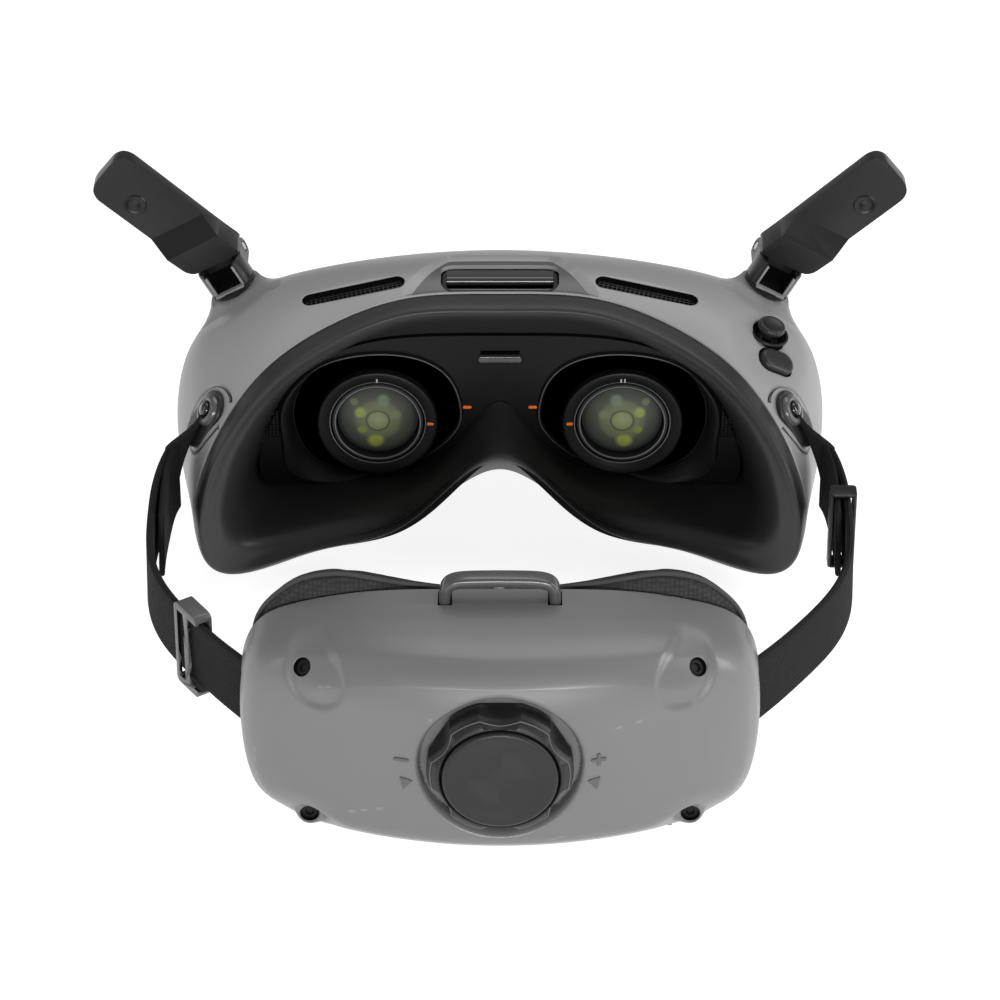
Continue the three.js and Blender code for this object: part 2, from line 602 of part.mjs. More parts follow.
// Slider on the left strap: a sleeve round the webbing with two windows in its outer face.
function strapBuckle() {
  const sleeve = box(0, 0, 0, 10.5, 4.6, STRAP_WIDTH + 4);
  const webbingWay = box(0, 0, 0, 14, 3, STRAP_WIDTH + 0.8);
  const windows = [box(-2.4, -3, 0, 2.8, 4, STRAP_WIDTH), box(4.6, -3, 0, 7.2, 4, STRAP_WIDTH)];
  const along = v3(6.1, -9, 0).normalize();
  const turn = new THREE.Matrix4()
    .makeBasis(along, v3(-along.y, along.x, 0), v3(0, 0, 1))
    .setPosition(-75.35, -101.5, STRAP_Z);
  return cut(sleeve, webbingWay, ...windows).applyMatrix4(turn);
}

// ---- battery pack ----
// Half outline of the pack's shell, [x, z] from the top centre round to the bottom centre.
const packOutline = [
  [0, 63.9], [14.5, 63.8], [31, 62.9], [45, 60.2], [55.5, 56], [61, 48.5], [62.8, 38],
  [62.7, 25], [60.3, 12], [54.5, 4.4], [46, 0.8], [33, 0], [16, 0], [0, 0],
];
const PACK_HALF_WIDTH = 62.8;
const PACK_MIDDLE_Z = 32;
// The pack is thickest in the middle. Its rear face leans a little towards the head at its top and its foot.
const packEdge = (x) => PACK_FRONT_Y + 2 * (x / 62) ** 2;
const packCrown = (x, z) => PACK_REAR_Y + 19 * (x / 62) ** 2 + 3 * smooth(z, 50, 62) + 6 * smooth(-z, -16, -4);

// Rings from the front edge to the knob's recess: share of the outline above and below the knob's axis, and
// share of the way back to the crown.
const packRings = [
  [1, 1, 0], [1, 1, 0.35], [0.99, 0.95, 0.6], [0.955, 0.84, 0.82], [0.88, 0.74, 0.95], [0.78, 0.63, 1],
];
const KNOB_RECESS = [[19.8, 5.2], [3.8, 5.2]]; // radius and depth
const KNOB_RECESS_MOUTH = 21;
const PACK_AROUND = 40;

function packGrid() {
  const outlineRings = packRings.map(([upper, lower, back]) => {
    const half = packOutline.map(([x, z]) => {
      const [px, pz] = [x * upper, mix(KNOB_Z, z, z > KNOB_Z ? upper : lower)];
      return v3(px, mix(packEdge(x), packCrown(px, pz), back), pz);
    });
    return Array.from({ length: PACK_AROUND }, (_, i) => curveAt(wholeLoop(half), true, i / PACK_AROUND));
  });
  const circleRing = (radius, yAt) =>
    Array.from({ length: PACK_AROUND }, (_, i) => {
      const a = (i / PACK_AROUND) * 2 * Math.PI;
      const [x, z] = [radius * Math.sin(a), KNOB_Z + radius * Math.cos(a)];
      return v3(x, yAt(x, z), z);
    });
  const recessRings = KNOB_RECESS.map(([radius, deep]) => circleRing(radius, () => PACK_REAR_Y + deep));
  const rings = [...outlineRings, circleRing(KNOB_RECESS_MOUTH, packCrown), ...recessRings];
  return Array.from({ length: PACK_AROUND }, (_, i) => rings.map((ring) => ring[i]));
}

// Each screw's place, and how far back its head lies.
const packScrewsAt = [[46.8, 55.6, -141], [46, 11, -140.6]];
const SCREW_END_Y = PACK_FRONT_Y - 3.4;
const SCREW_HEAD_R = 2;
const SCREW_HEAD_HEIGHT = 1.6;
const SCREW_R = 1.1;
const alongY = (radius, from, to, x, z, segments = 12) => disc(radius, from, to, segments).translate(x, 0, z);

function packScrew(x, z, head) {
  return join(
    alongY(SCREW_HEAD_R, head, head + SCREW_HEAD_HEIGHT, x, z),
    alongY(SCREW_R, head + 1, SCREW_END_Y, x, z, 8),
  );
}

function packShell() {
  const bosses = [];
  const bores = [];
  for (const [x, z, head] of packScrewsAt) {
    for (const px of [x, -x]) {
      bosses.push(alongY(3.2, head - 0.4, SCREW_END_Y + 0.6, px, z, 14));
      bores.push(alongY(SCREW_HEAD_R + GAP, PACK_REAR_Y, head + SCREW_HEAD_HEIGHT + GAP, px, z));
      bores.push(alongY(SCREW_R + GAP, PACK_REAR_Y, PACK_FRONT_Y, px, z, 8));
    }
  }
  const grid = packGrid();
  const filled = loft(grid[0].map((_, ring) => grid.map((column) => column[ring])));
  const shell = join(skin(grid, PACK_WALL), common(join(...bosses), filled));
  const strapSlots = [1, -1].map((side) => box(side * 61, -121.5, STRAP_Z, 7, 12, STRAP_WIDTH + 2));
  const loopHoles = [1, -1].map((side) => box(side * LOOP_HALF, -125, 64.6, 3.2, 5.6, 8));
  const portHole = box(...CHARGE_PORT_AT, 10, 6.6, 12);
  const powerHole = rod(3.5, 9, [0, 0, 1], 16).translate(...POWER_BUTTON_AT);
  return lightened(cut(shell, ...bores, ...strapSlots, ...loopHoles, portHole, powerHole), 0.06);
}

// An outline-shaped layer, smaller all round by `inset`, at a distance `offset` from the shell's edge.
function packLayer(inset, offset, around) {
  const [shareX, shareZ] = [1 - inset / PACK_HALF_WIDTH, 1 - inset / PACK_MIDDLE_Z];
  const half = packOutline.map(([x, z]) =>
    v3(x * shareX, packEdge(x) + offset, mix(PACK_MIDDLE_Z, z, shareZ)),
  );
  return Array.from({ length: around }, (_, i) => curveAt(wholeLoop(half), true, i / around));
}

// Flat tray that closes the pack towards the head; the straps pass through notches in its ends.
function packBase() {
  const tray = loft([packLayer(2.7, -2.2, 40), packLayer(2.7, -0.2, 40)]);
  const notches = [1, -1].map((side) => box(side * 60.5, -120, STRAP_Z, 9, 12, STRAP_WIDTH + 2));
  return cut(tray, ...notches);
}

// Cushion against the back of the head, with a raised bolster on each side that stands above the shell.
const cushionOutline = [
  [0, 62.2], [14.4, 63], [25, 64.2], [33, 65.6], [39.4, 66.4], [46, 65.4], [51.5, 62.6], [57.3, 56.6],
  [60.2, 49], [60.8, 38], [60, 24], [56.5, 11.5], [49.5, 5.4], [38, 3.4], [20, 3], [0, 3],
];
function headCushion() {
  const bolster = (x) => smooth(Math.abs(x), 6, 36);
  const layers = [[3.2, 0.2], [0.8, 1.8], [0, 3.4], [1.6, 6.5], [7, 9.2], [18, 10], [28, 9.4]];
  const layer = ([inset, out]) => {
    const [shareX, shareZ] = [1 - inset / PACK_HALF_WIDTH, 1 - inset / PACK_MIDDLE_Z];
    const half = cushionOutline.map(([x, z]) =>
      v3(x * shareX, packEdge(x) + out * (1 + 0.2 * bolster(x)), mix(PACK_MIDDLE_Z, z, shareZ)),
    );
    return Array.from({ length: 28 }, (_, i) => curveAt(wholeLoop(half), true, i / 28));
  };
  return loft(layers.map(layer));
}

// Loop for an optional top strap: a flat bar bent down at both ends into the shell.
const LOOP_HALF = 13.1;
function packLoop() {
  const path = [
    [-LOOP_HALF, -125, 61.6], [-LOOP_HALF, -125, 65.4], [-12.2, -124.9, 67.8], [-9.4, -124.8, 68.9],
    [0, -124.8, 69.2],
  ];
  const whole = [...path, ...path.slice(0, -1).reverse().map(([x, y, z]) => [-x, y, z])];
  const curve = new THREE.CatmullRomCurve3(whole.map((p) => v3(...p)), false, "catmullrom", 0.4);
  const steps = 18;
  const rings = Array.from({ length: steps + 1 }, (_, i) => {
    const [p, t] = [curve.getPoint(i / steps), curve.getTangent(i / steps)];
    const side = v3(-t.z, 0, t.x).normalize().multiplyScalar(1.2);
    return Array.from({ length: 8 }, (_, k) => {
      const a = ((k + 0.5) / 8) * 2 * Math.PI;
      return p.clone().addScaledVector(side, Math.cos(a)).add(v3(0, 2.3 * Math.sin(a), 0));
    });
  });
  return loft(rings);
}

const KNOB_LOBES = 6;
function sizeKnob() {
  const layers = [
    [16.8, -151.1, 0.6], [17.2, -152.2, 1.2], [17.4, -156.4, 1.6], [16.9, -158.4, 1.6], [15.6, -159.6, 1],
  ];
  const ring = ([radius, y, depth]) =>
    Array.from({ length: 48 }, (_, i) => {
      const a = (i / 48) * 2 * Math.PI;
      const r = radius - depth * (0.5 + 0.5 * Math.cos(KNOB_LOBES * a)) ** 2;
      return v3(r * Math.sin(a), y, KNOB_Z + r * Math.cos(a));
    });
  const well = alongY(14.2, -162, -155.6, 0, KNOB_Z, 28);
  return join(cut(loft(layers.map(ring)), well), alongY(3.2, -152, GEAR_Y - 1.8, 0, KNOB_Z, 14));
}
const knobCap = () =>
  turnedY([[0, -159.4], [6, -159.6], [10.5, -160.1], [13, -160.4], [13.8, -159.6], [13.8, -155.9], [0, -155.9]], 28)
    .translate(0, 0, KNOB_Z);

// The knob's pinion drives two racks: the upper one carries the left strap, the lower one the right.
// Turned clockwise as seen from behind, it draws both straps in.
const GEAR_Y = -142.2;
const PINION_R = 4.4;
const RACK_OFFSET = PINION_R + 3.9;
function knobPinion() {
  const teeth = Array.from({ length: 10 }, (_, i) =>
    box(0, 0, PINION_R + 0.4, 1.3, 2.6, 1.6).rotateY((i / 10) * 2 * Math.PI),
  );
  return join(disc(PINION_R, -1.3, 1.3, 20), ...teeth).translate(0, GEAR_Y, KNOB_Z);
}
const bandRack = (side) => box(side * 10, GEAR_Y + 0.4, KNOB_Z - side * RACK_OFFSET, 44, 1.8, 4);

const UPPER_CELL_Z = 46.6;
const LOWER_CELL_Z = 19.2;
const batteryCell = (z) => box(0, PACK_FRONT_Y - 3.4 - CELL[1] / 2, z, ...CELL);
const CHARGE_PORT_AT = [37.4, -129.4, 4.6];
const POWER_BUTTON_AT = [24.5, -130.5, 3];
// The board stands at the pack's right, with the charging socket at its foot facing down.
const chargeBoard = () => {
  const board = join(box(46.2, -127, 27.4, 16, 1.4, 24), box(39.6, -127, 9.4, 2.8, 1.4, 14));
  const socket = box(...CHARGE_PORT_AT, 9.2, 6, 7);
  return cut(join(board, socket), box(CHARGE_PORT_AT[0], CHARGE_PORT_AT[1] - 1, 1.5, 8, 2.1, 9));
};
const powerButton = () =>
  join(rod(3.2, 4, [0, 0, 1], 16), rod(3.9, 1, [0, 0, 1], 16).translate(0, 0, 1.5))
    .translate(POWER_BUTTON_AT[0], POWER_BUTTON_AT[1], 2.7);

// ---- assembly ----
const pair = (name, make, material) => {
  add(`right_${name}`, make(), material);
  add(`left_${name}`, mirrored(make()), material);
};

add("main_housing", mainHousing(), finishes.greyShell);
add("front_cover", frontCover(), finishes.glossBlack);
add("face_pad", facePad(), finishes.softRubber);
add("eyepiece_plate", eyepiecePlate(), finishes.blackMatte);
add("memory_card_socket", memoryCardSocket(), finishes.steel);
add("top_strap_bar", topStrapBar(), finishes.darkPlastic);
pair("vent_mesh", ventMesh, finishes.blackMatte);
pair("eyepiece_barrel", eyepieceBarrel, finishes.blackMatte);
pair("lens_cell", lensCell, finishes.darkPlastic);
pair("lens", lens, finishes.glass);
pair("display_panel", displayPanel, finishes.glossBlack);
pair("focus_wheel", focusWheel, finishes.darkPlastic);
add("main_board", mainBoard(), finishes.boardGreen);
add("heat_sink", heatSink(), finishes.aluminium);
add("fan_rotor", fanRotor(), finishes.darkPlastic);
add("joystick_rocker", joystickRocker(), finishes.darkPlastic);
add("joystick_stem", joystickStem(), finishes.darkPlastic);
add("joystick_cap", joystickCap(), finishes.darkPlastic);
add("back_button", backButton(), finishes.darkPlastic);
pair("antenna_stub", antennaStub, finishes.blackMatte);
pair("antenna_pin", antennaPin, finishes.steel);
pair("antenna_blade", antennaBlade, finishes.darkPlastic);
pair("antenna_cover", antennaCover, finishes.blackMatte);
pair("strap_anchor", strapAnchor, finishes.darkPlastic);
pair("strap_pin", strapPin, finishes.glossBlack);
pair("strap_front", () => strapPiece(strapFront, 6), finishes.webbing);
pair("strap_rear", () => strapPiece(strapRear, 14), finishes.webbing);
add("strap_keeper", strapKeeper(), finishes.darkPlastic);
add("strap_buckle", strapBuckle(), finishes.buckleGrey);
add("pack_shell", packShell(), finishes.greyShell);
add("pack_base", packBase(), finishes.darkPlastic);
add("head_cushion", headCushion(), finishes.cushionCloth);
add("pack_loop", packLoop(), finishes.buckleGrey);
add("size_knob", sizeKnob(), finishes.darkPlastic);
add("knob_cap", knobCap(), finishes.darkPlastic);
add("knob_pinion", knobPinion(), finishes.buckleGrey);
add("right_band_rack", bandRack(1), finishes.buckleGrey);
add("left_band_rack", bandRack(-1), finishes.buckleGrey);
add("upper_battery_cell", batteryCell(UPPER_CELL_Z), finishes.cellWrap);
add("lower_battery_cell", batteryCell(LOWER_CELL_Z), finishes.cellWrap);
add("charge_board", chargeBoard(), finishes.boardGreen);
add("power_button", powerButton(), finishes.darkPlastic);
packScrewsAt.forEach(([x, z, head], row) => {
  const height = ["upper", "lower"][row];
  add(`right_${height}_screw`, packScrew(x, z, head), finishes.steel);
  add(`left_${height}_screw`, packScrew(-x, z, head), finishes.steel);
});

// The origin is the middle of the footprint, on the table.
const extent = new THREE.Box3().setFromObject(root);
root.position.set(0, -(extent.min.y + extent.max.y) / 2, -extent.min.z);

export default root;
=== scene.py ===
import math

import bpy
import numpy as np
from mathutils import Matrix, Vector
from mathutils.bvhtree import BVHTree


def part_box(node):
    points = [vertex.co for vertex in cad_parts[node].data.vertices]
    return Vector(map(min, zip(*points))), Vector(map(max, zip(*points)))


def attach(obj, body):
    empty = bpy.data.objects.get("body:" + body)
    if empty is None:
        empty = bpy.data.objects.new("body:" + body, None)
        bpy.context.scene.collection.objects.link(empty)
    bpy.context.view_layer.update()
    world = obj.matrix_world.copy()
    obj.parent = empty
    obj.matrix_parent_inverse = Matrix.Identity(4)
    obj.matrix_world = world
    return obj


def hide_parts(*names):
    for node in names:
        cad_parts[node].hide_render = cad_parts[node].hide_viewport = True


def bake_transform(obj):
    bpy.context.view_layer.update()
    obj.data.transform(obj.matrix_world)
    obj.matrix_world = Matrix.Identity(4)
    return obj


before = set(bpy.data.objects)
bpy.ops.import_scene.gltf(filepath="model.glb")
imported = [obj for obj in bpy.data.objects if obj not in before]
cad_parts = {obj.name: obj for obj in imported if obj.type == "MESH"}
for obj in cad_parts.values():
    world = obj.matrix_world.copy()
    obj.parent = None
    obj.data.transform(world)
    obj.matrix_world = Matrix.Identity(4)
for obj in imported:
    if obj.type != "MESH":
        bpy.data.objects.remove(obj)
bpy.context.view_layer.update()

MM = 0.001
EYE_X, EYE_Z = 32.5, 32.0
BARREL_FRONT_Y = -0.5
barrel_low, barrel_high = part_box("right_eyepiece_barrel")
SHIFT = np.array([
    0,
    barrel_low[1] / MM - BARREL_FRONT_Y,
    (barrel_low[2] + barrel_high[2]) / 2 / MM - EYE_Z,
])

# ---- driving dimensions, as in the CAD model ----
HOUSING_WALL = 2.4
PAD_WALL = 2.2
PACK_WALL = 2.2
BARREL_R = 16
LENS_RING_R = 12.2
LENS_R = 11
PLATE_Y = 4
STRAP_Z = 32.5
STRAP_WIDTH = 20
STRAP_THICK = 1.8
STUB_TILT = math.radians(29)
STUB_BASE = np.array([70.7, 25, 59.6])
PIN_FORWARD, PIN_ABOVE = 6.8, 6.3
KNOB_Z = 36
PACK_FRONT_Y = -121
PACK_REAR_Y = -156

scene = bpy.context.scene


def smooth(x, low, high):
    t = np.clip((np.asarray(x, float) - low) / (high - low), 0, 1)
    return t * t * (3 - 2 * t)


def mix(a, b, share):
    return a + (b - a) * share


def hermite(t, start, lead, end, arrival):
    """A point of the cubic from start to end, which leaves along lead and comes in along arrival."""
    return ((2 * t ** 3 - 3 * t ** 2 + 1) * start + (t ** 3 - 2 * t ** 2 + t) * lead
            + (3 * t ** 2 - 2 * t ** 3) * end + (t ** 3 - t ** 2) * arrival)


def unit(v):
    v = np.asarray(v, float)
    return v / np.linalg.norm(v, axis=-1, keepdims=True)


# ---- camera, floor and light ----
CAMERA_AT = (0, -0.92726, 0.66731)
CAMERA_ELEVATION = math.radians(34)


def make_camera():
    camera = bpy.data.objects.new("camera", bpy.data.cameras.new("camera"))
    camera.data.lens = 158
    camera.data.sensor_width = 36
    camera.location = CAMERA_AT
    camera.rotation_euler = (math.pi / 2 - CAMERA_ELEVATION, 0, 0)
    scene.collection.objects.link(camera)
    scene.camera = camera


def area_light(name, at, aim, size, power):
    data = bpy.data.lights.new(name, "AREA")
    data.shape = "RECTANGLE"
    data.size, data.size_y = size
    data.energy = power
    lamp = bpy.data.objects.new(name, data)
    lamp.location = at
    lamp.rotation_euler = (Vector(aim) - Vector(at)).to_track_quat("-Z", "Y").to_euler()
    scene.collection.objects.link(lamp)


def make_stage():
    size = 3
    mesh = bpy.data.meshes.new("floor")
    mesh.from_pydata([(-size, -size, 0), (size, -size, 0), (size, size, 0), (-size, size, 0)], [],
                     [(0, 1, 2, 3)])
    floor = bpy.data.objects.new("floor", mesh)
    scene.collection.objects.link(floor)
    look = bpy.data.materials.new("floor")
    look.use_nodes = True
    surface = look.node_tree.nodes["Principled BSDF"]
    surface.inputs["Base Color"].default_value = (0.5, 0.5, 0.5, 1)
    surface.inputs["Roughness"].default_value = 0.95
    surface.inputs["Specular IOR Level"].default_value = 0.1
    surface.inputs["Emission Color"].default_value = (1, 1, 1, 1)
    surface.inputs["Emission Strength"].default_value = 0.8
    floor.data.materials.append(look)
    world = bpy.data.worlds.new("studio")
    world.use_nodes = True
    world.node_tree.nodes["Background"].inputs[0].default_value = (1, 1, 1, 1)
    world.node_tree.nodes["Background"].inputs[1].default_value = 0.35
    scene.world = world
    area_light("camera_side", (0.1, -1.3, 0.42), (0, -0.05, 0.03), (0.8, 0.2), 14)
    area_light("top_softbox", (0.2, 0.45, 1.0), (0, 0.03, 0.04), (0.9, 0.5), 3.6)
    area_light("left_strip", (-1.0, -0.1, 0.45), (0, 0, 0.04), (0.2, 0.8), 1.5)
    area_light("right_strip", (1.0, -0.1, 0.45), (0, 0, 0.04), (0.2, 0.8), 5)
    scene.view_settings.view_transform = "Standard"


# ---- materials ----
def node(tree, kind, inputs=None, **settings):
    made = tree.nodes.new(kind)
    for key, value in settings.items():
        setattr(made, key, value)
    for key, value in (inputs or {}).items():
        if isinstance(value, bpy.types.NodeSocket):
            tree.links.new(value, made.inputs[key])
        else:
            made.inputs[key].default_value = value
    return made


def grey(level):
    """Linear colour of a neutral grey given as an sRGB level from 0 to 255."""
    share = level / 255
    linear = share / 12.92 if share < 0.04 else ((share + 0.055) / 1.055) ** 2.4
    return (linear, linear, linear)


def tinted(colour, share):
    return (*[min(1, c * share) for c in colour[:3]], 1)


def make_look(name, colour, roughness, grain=0.35, grain_depth=0.03, mottle=0.08, metallic=0.0,
              edge_wear_and_highlight=0.0, weave=None, **sockets):
    """A moulded, painted, woven or cast finish: clouded colour, grain in millimetres, lighter edges (wear and
    painted highlight).
    """
    look = bpy.data.materials.new(name)
    look.use_nodes = True
    tree = look.node_tree
    surface = tree.nodes["Principled BSDF"]
    place = node(tree, "ShaderNodeTexCoord").outputs["Object"]
    cloud = node(tree, "ShaderNodeTexNoise", {"Vector": place, "Scale": 45, "Detail": 4}).outputs["Fac"]
    fine = node(tree, "ShaderNodeTexNoise", {"Vector": place, "Scale": 1 / (grain * MM),
                                             "Detail": 2}).outputs["Fac"]
    speckle = node(tree, "ShaderNodeMix", {0: 0.5, 2: cloud, 3: fine}, data_type="FLOAT").outputs[0]
    shade = node(tree, "ShaderNodeMix", {
        0: speckle, 6: tinted(colour, 1 - mottle), 7: tinted(colour, 1 + mottle),
    }, data_type="RGBA").outputs[2]
    # Lighter sharp edges, found by pointiness: partly wear, partly a painted highlight.
    if edge_wear_and_highlight:
        edge = node(tree, "ShaderNodeMapRange", {
            "Value": node(tree, "ShaderNodeNewGeometry").outputs["Pointiness"],
            "From Min": 0.53, "From Max": 0.62, "To Min": 0.0, "To Max": edge_wear_and_highlight,
        }).outputs[0]
        shade = node(tree, "ShaderNodeMix", {0: edge, 6: shade, 7: tinted(colour, 2.2)},
                     data_type="RGBA").outputs[2]
    height = fine
    if weave:
        height, shade = weave(tree, shade, fine)
    tree.links.new(shade, surface.inputs["Base Color"])
    rough = node(tree, "ShaderNodeMapRange", {
        "Value": speckle, "From Min": 0.3, "From Max": 0.7, "To Min": roughness - 0.05,
        "To Max": roughness + 0.05,
    }).outputs[0]
    tree.links.new(rough, surface.inputs["Roughness"])
    bump = node(tree, "ShaderNodeBump", {"Height": height, "Strength": 1.0, "Distance": grain_depth * MM})
    tree.links.new(bump.outputs[0], surface.inputs["Normal"])
    surface.inputs["Metallic"].default_value = metallic
    for key, value in sockets.items():
        surface.inputs[key.replace("_", " ")].default_value = value
    return look


def ribbed_weave(tree, shade, fine):
    """Webbing: diagonal yarns across the strap, from the UV map, which is in millimetres."""
    uv = node(tree, "ShaderNodeSeparateXYZ", {0: node(tree, "ShaderNodeUVMap").outputs[0]})
    along, across = uv.outputs[0], uv.outputs[1]

    def ridges(value, pitch, shift=0.0):
        turned = node(tree, "ShaderNodeMath", {0: value, 1: 2 * math.pi / pitch},
                      operation="MULTIPLY").outputs[0]
        moved = node(tree, "ShaderNodeMath", {0: turned, 1: shift}, operation="ADD").outputs[0]
        return node(tree, "ShaderNodeMath", {0: moved}, operation="SINE").outputs[0]

    zigzag = node(tree, "ShaderNodeMath", {0: across, 1: 2.5}, operation="PINGPONG").outputs[0]
    slanted = node(tree, "ShaderNodeMath", {0: along, 1: zigzag}, operation="ADD").outputs[0]
    yarn = ridges(slanted, 0.9)
    column = ridges(across, 1.25)
    both = node(tree, "ShaderNodeMath", {0: yarn, 1: column}, operation="ADD").outputs[0]
    height = node(tree, "ShaderNodeMath", {0: both, 1: fine}, operation="ADD").outputs[0]
    tone = node(tree, "ShaderNodeMapRange", {"Value": both, "From Min": -1.6, "From Max": 1.6}).outputs[0]
    dark = node(tree, "ShaderNodeMix", {0: 0.16, 6: shade, 7: (0, 0, 0, 1)}, data_type="RGBA").outputs[2]
    woven = node(tree, "ShaderNodeMix", {0: tone, 6: dark, 7: shade}, data_type="RGBA").outputs[2]
    return height, woven


def knitted(tree, shade, fine):
    """Close-knit cushion cover: small dimples in rows, from object coordinates."""
    place = node(tree, "ShaderNodeTexCoord").outputs["Object"]
    cells = node(tree, "ShaderNodeTexVoronoi", {"Vector": place, "Scale": 900, "Randomness": 0.25})
    dip = cells.outputs["Distance"]
    height = node(tree, "ShaderNodeMath", {0: dip, 1: fine}, operation="ADD").outputs[0]
    tone = node(tree, "ShaderNodeMapRange", {"Value": dip, "From Min": 0.1, "From Max": 0.7}).outputs[0]
    dark = node(tree, "ShaderNodeMix", {0: 0.5, 6: shade, 7: (0, 0, 0, 1)}, data_type="RGBA").outputs[2]
    covered = node(tree, "ShaderNodeMix", {0: tone, 6: shade, 7: dark}, data_type="RGBA").outputs[2]
    return height, covered


looks = {
    "housing_grey": make_look("housing_grey", grey(134), 0.42, grain=0.3, grain_depth=0.02, mottle=0.05,
                              edge_wear_and_highlight=0.12),
    "pack_grey": make_look("pack_grey", grey(101), 0.33, grain=0.3, grain_depth=0.02, mottle=0.05, edge_wear_and_highlight=0.3),
    "dim_grey": make_look("dim_grey", grey(78), 0.38, grain=0.3, grain_depth=0.02, mottle=0.05, edge_wear_and_highlight=0.12),
    "dark_plastic": make_look("dark_plastic", grey(30), 0.36, grain=0.25, grain_depth=0.025, edge_wear_and_highlight=0.25,
                              Specular_IOR_Level=0.35),
    "antenna_black": make_look("antenna_black", grey(20), 0.34, grain=0.25, grain_depth=0.02, edge_wear_and_highlight=0.5,
                               Specular_IOR_Level=0.3),
    "knob_grip": make_look("knob_grip", grey(26), 0.42, grain=0.3, grain_depth=0.03, edge_wear_and_highlight=0.5,
                           Specular_IOR_Level=0.35),
    "black_matte": make_look("black_matte", grey(17), 0.45, grain=0.3, grain_depth=0.02, edge_wear_and_highlight=0.1,
                             Specular_IOR_Level=0.2),
    # Near-black with almost no gloss: painted shade in slots, pockets, wells and gaps; the plate's grille dots
    # use it too.
    "black_and_painted_shade": make_look("black_and_painted_shade", grey(6), 0.9, grain=0.3, grain_depth=0.02, Specular_IOR_Level=0.05),
    "gloss_black": make_look("gloss_black", grey(16), 0.12, grain=0.6, grain_depth=0.002, mottle=0.03,
                             Coat_Weight=0.5),
    "soft_rubber": make_look("soft_rubber", grey(42), 0.42, grain=0.22, grain_depth=0.02,
                             Specular_IOR_Level=0.3),
    "webbing": make_look("webbing", grey(30), 0.9, grain=0.15, grain_depth=0.05, weave=ribbed_weave,
                         Specular_IOR_Level=0.15),
    "cushion_cloth": make_look("cushion_cloth", grey(60), 0.85, grain=0.2, grain_depth=0.14, weave=knitted,
                               Specular_IOR_Level=0.2),
    "thread": make_look("thread", grey(54), 0.8, grain=0.2, grain_depth=0.05),
    "steel": make_look("steel", grey(150), 0.3, grain=0.2, grain_depth=0.004, metallic=1.0, edge_wear_and_highlight=0.2),
    "dark_steel": make_look("dark_steel", grey(60), 0.35, grain=0.2, grain_depth=0.004, metallic=1.0,
                            edge_wear_and_highlight=0.2),
    "buckle_grey": make_look("buckle_grey", grey(72), 0.35, grain=0.25, grain_depth=0.02, edge_wear_and_highlight=0.3),
    "gloss_bar": make_look("gloss_bar", grey(44), 0.22, grain=0.6, grain_depth=0.002, mottle=0.03,
                           Coat_Weight=0.3),
    "mid_grey": make_look("mid_grey", grey(120), 0.4, grain=0.25, grain_depth=0.02, edge_wear_and_highlight=0.2),
    "loop_grey": make_look("loop_grey", grey(66), 0.26, grain=0.25, grain_depth=0.01, edge_wear_and_highlight=0.4,
                           Coat_Weight=0.3),
    "circuit_board": make_look("circuit_board", (0.012, 0.075, 0.03), 0.45, grain=1.2, grain_depth=0.02,
                               mottle=0.3),
    "cell_wrap": make_look("cell_wrap", (0.03, 0.09, 0.25), 0.35, grain=0.5, grain_depth=0.02),
    "aluminium": make_look("aluminium", grey(190), 0.32, grain=0.15, grain_depth=0.01, metallic=1.0),
    "orange_mark": make_look("orange_mark", (0.78, 0.16, 0.01), 0.5, grain=0.2, grain_depth=0.01),
    "pale_mark": make_look("pale_mark", grey(176), 0.5, grain=0.2, grain_depth=0.01),
}


# ---- mesh helpers ----
def new_mesh(name, points, faces):
    mesh = bpy.data.meshes.new(name)
    mesh.from_pydata(((np.asarray(points, float) + SHIFT) * MM).tolist(), [],
                     [list(map(int, f)) for f in faces])
    mesh.validate()
    return mesh


def new_object(name, points, faces):
    made = bpy.data.objects.new(name, new_mesh(name, points, faces))
    scene.collection.objects.link(made)
    return made


def outward(points, faces):
    """The same faces, turned over if the closed body they make is inside out."""
    p = np.asarray(points, float)
    total = 0.0
    for face in faces:
        for k in range(1, len(face) - 1):
            total += np.dot(p[face[0]], np.cross(p[face[k]], p[face[k + 1]]))
    return faces if total > 0 else [face[::-1] for face in faces]


def loft(rings, closed=False, caps=True):
    """Points and faces of a body through rings of points; a closed loft joins its last ring to its first."""
    rings = np.asarray(rings, float)
    count, size = rings.shape[:2]
    points = list(rings.reshape(-1, 3))
    faces = []
    for i in range(count if closed else count - 1):
        a, b = i * size, ((i + 1) % count) * size
        for j in range(size):
            k = (j + 1) % size
            faces.append((a + j, a + k, b + k, b + j))
    if caps and not closed:
        for ring, flip in ((0, True), (count - 1, False)):
            centre = len(points)
            points.append(rings[ring].mean(axis=0))
            for j in range(size):
                a, b = ring * size + j, ring * size + (j + 1) % size
                faces.append((centre, b, a) if flip else (centre, a, b))
    return points, outward(points, faces)


def merged(*bodies):
    points, faces = [], []
    for some_points, some_faces in bodies:
        start = len(points)
        points.extend(some_points)
        faces.extend([tuple(start + i for i in face) for face in some_faces])
    return points, faces


def mirrored(body):
    points, faces = body
    return [np.array([-p[0], p[1], p[2]]) for p in points], [tuple(face[::-1]) for face in faces]


def moved(body, matrix, origin=(0, 0, 0)):
    """The body in a frame given by its axes as the matrix's columns, and its origin."""
    points, faces = body
    return list(np.asarray(points, float) @ np.asarray(matrix, float).T + np.asarray(origin, float)), faces


def on_side(body, side):
    return body if side > 0 else mirrored(body)


def closed_spline(points, count):
    """Points at even steps along the smooth closed curve through the given ones."""
    points = np.asarray(points, float)
    n = len(points)
    system = (4 * np.eye(n) + np.roll(np.eye(n), 1, 0) + np.roll(np.eye(n), -1, 0)) / 6
    control = np.linalg.solve(system, points.reshape(n, -1))
    t = np.arange(count) * n / count
    return spline_values(control, t, lambda i: i % n).reshape((count,) + points.shape[1:])


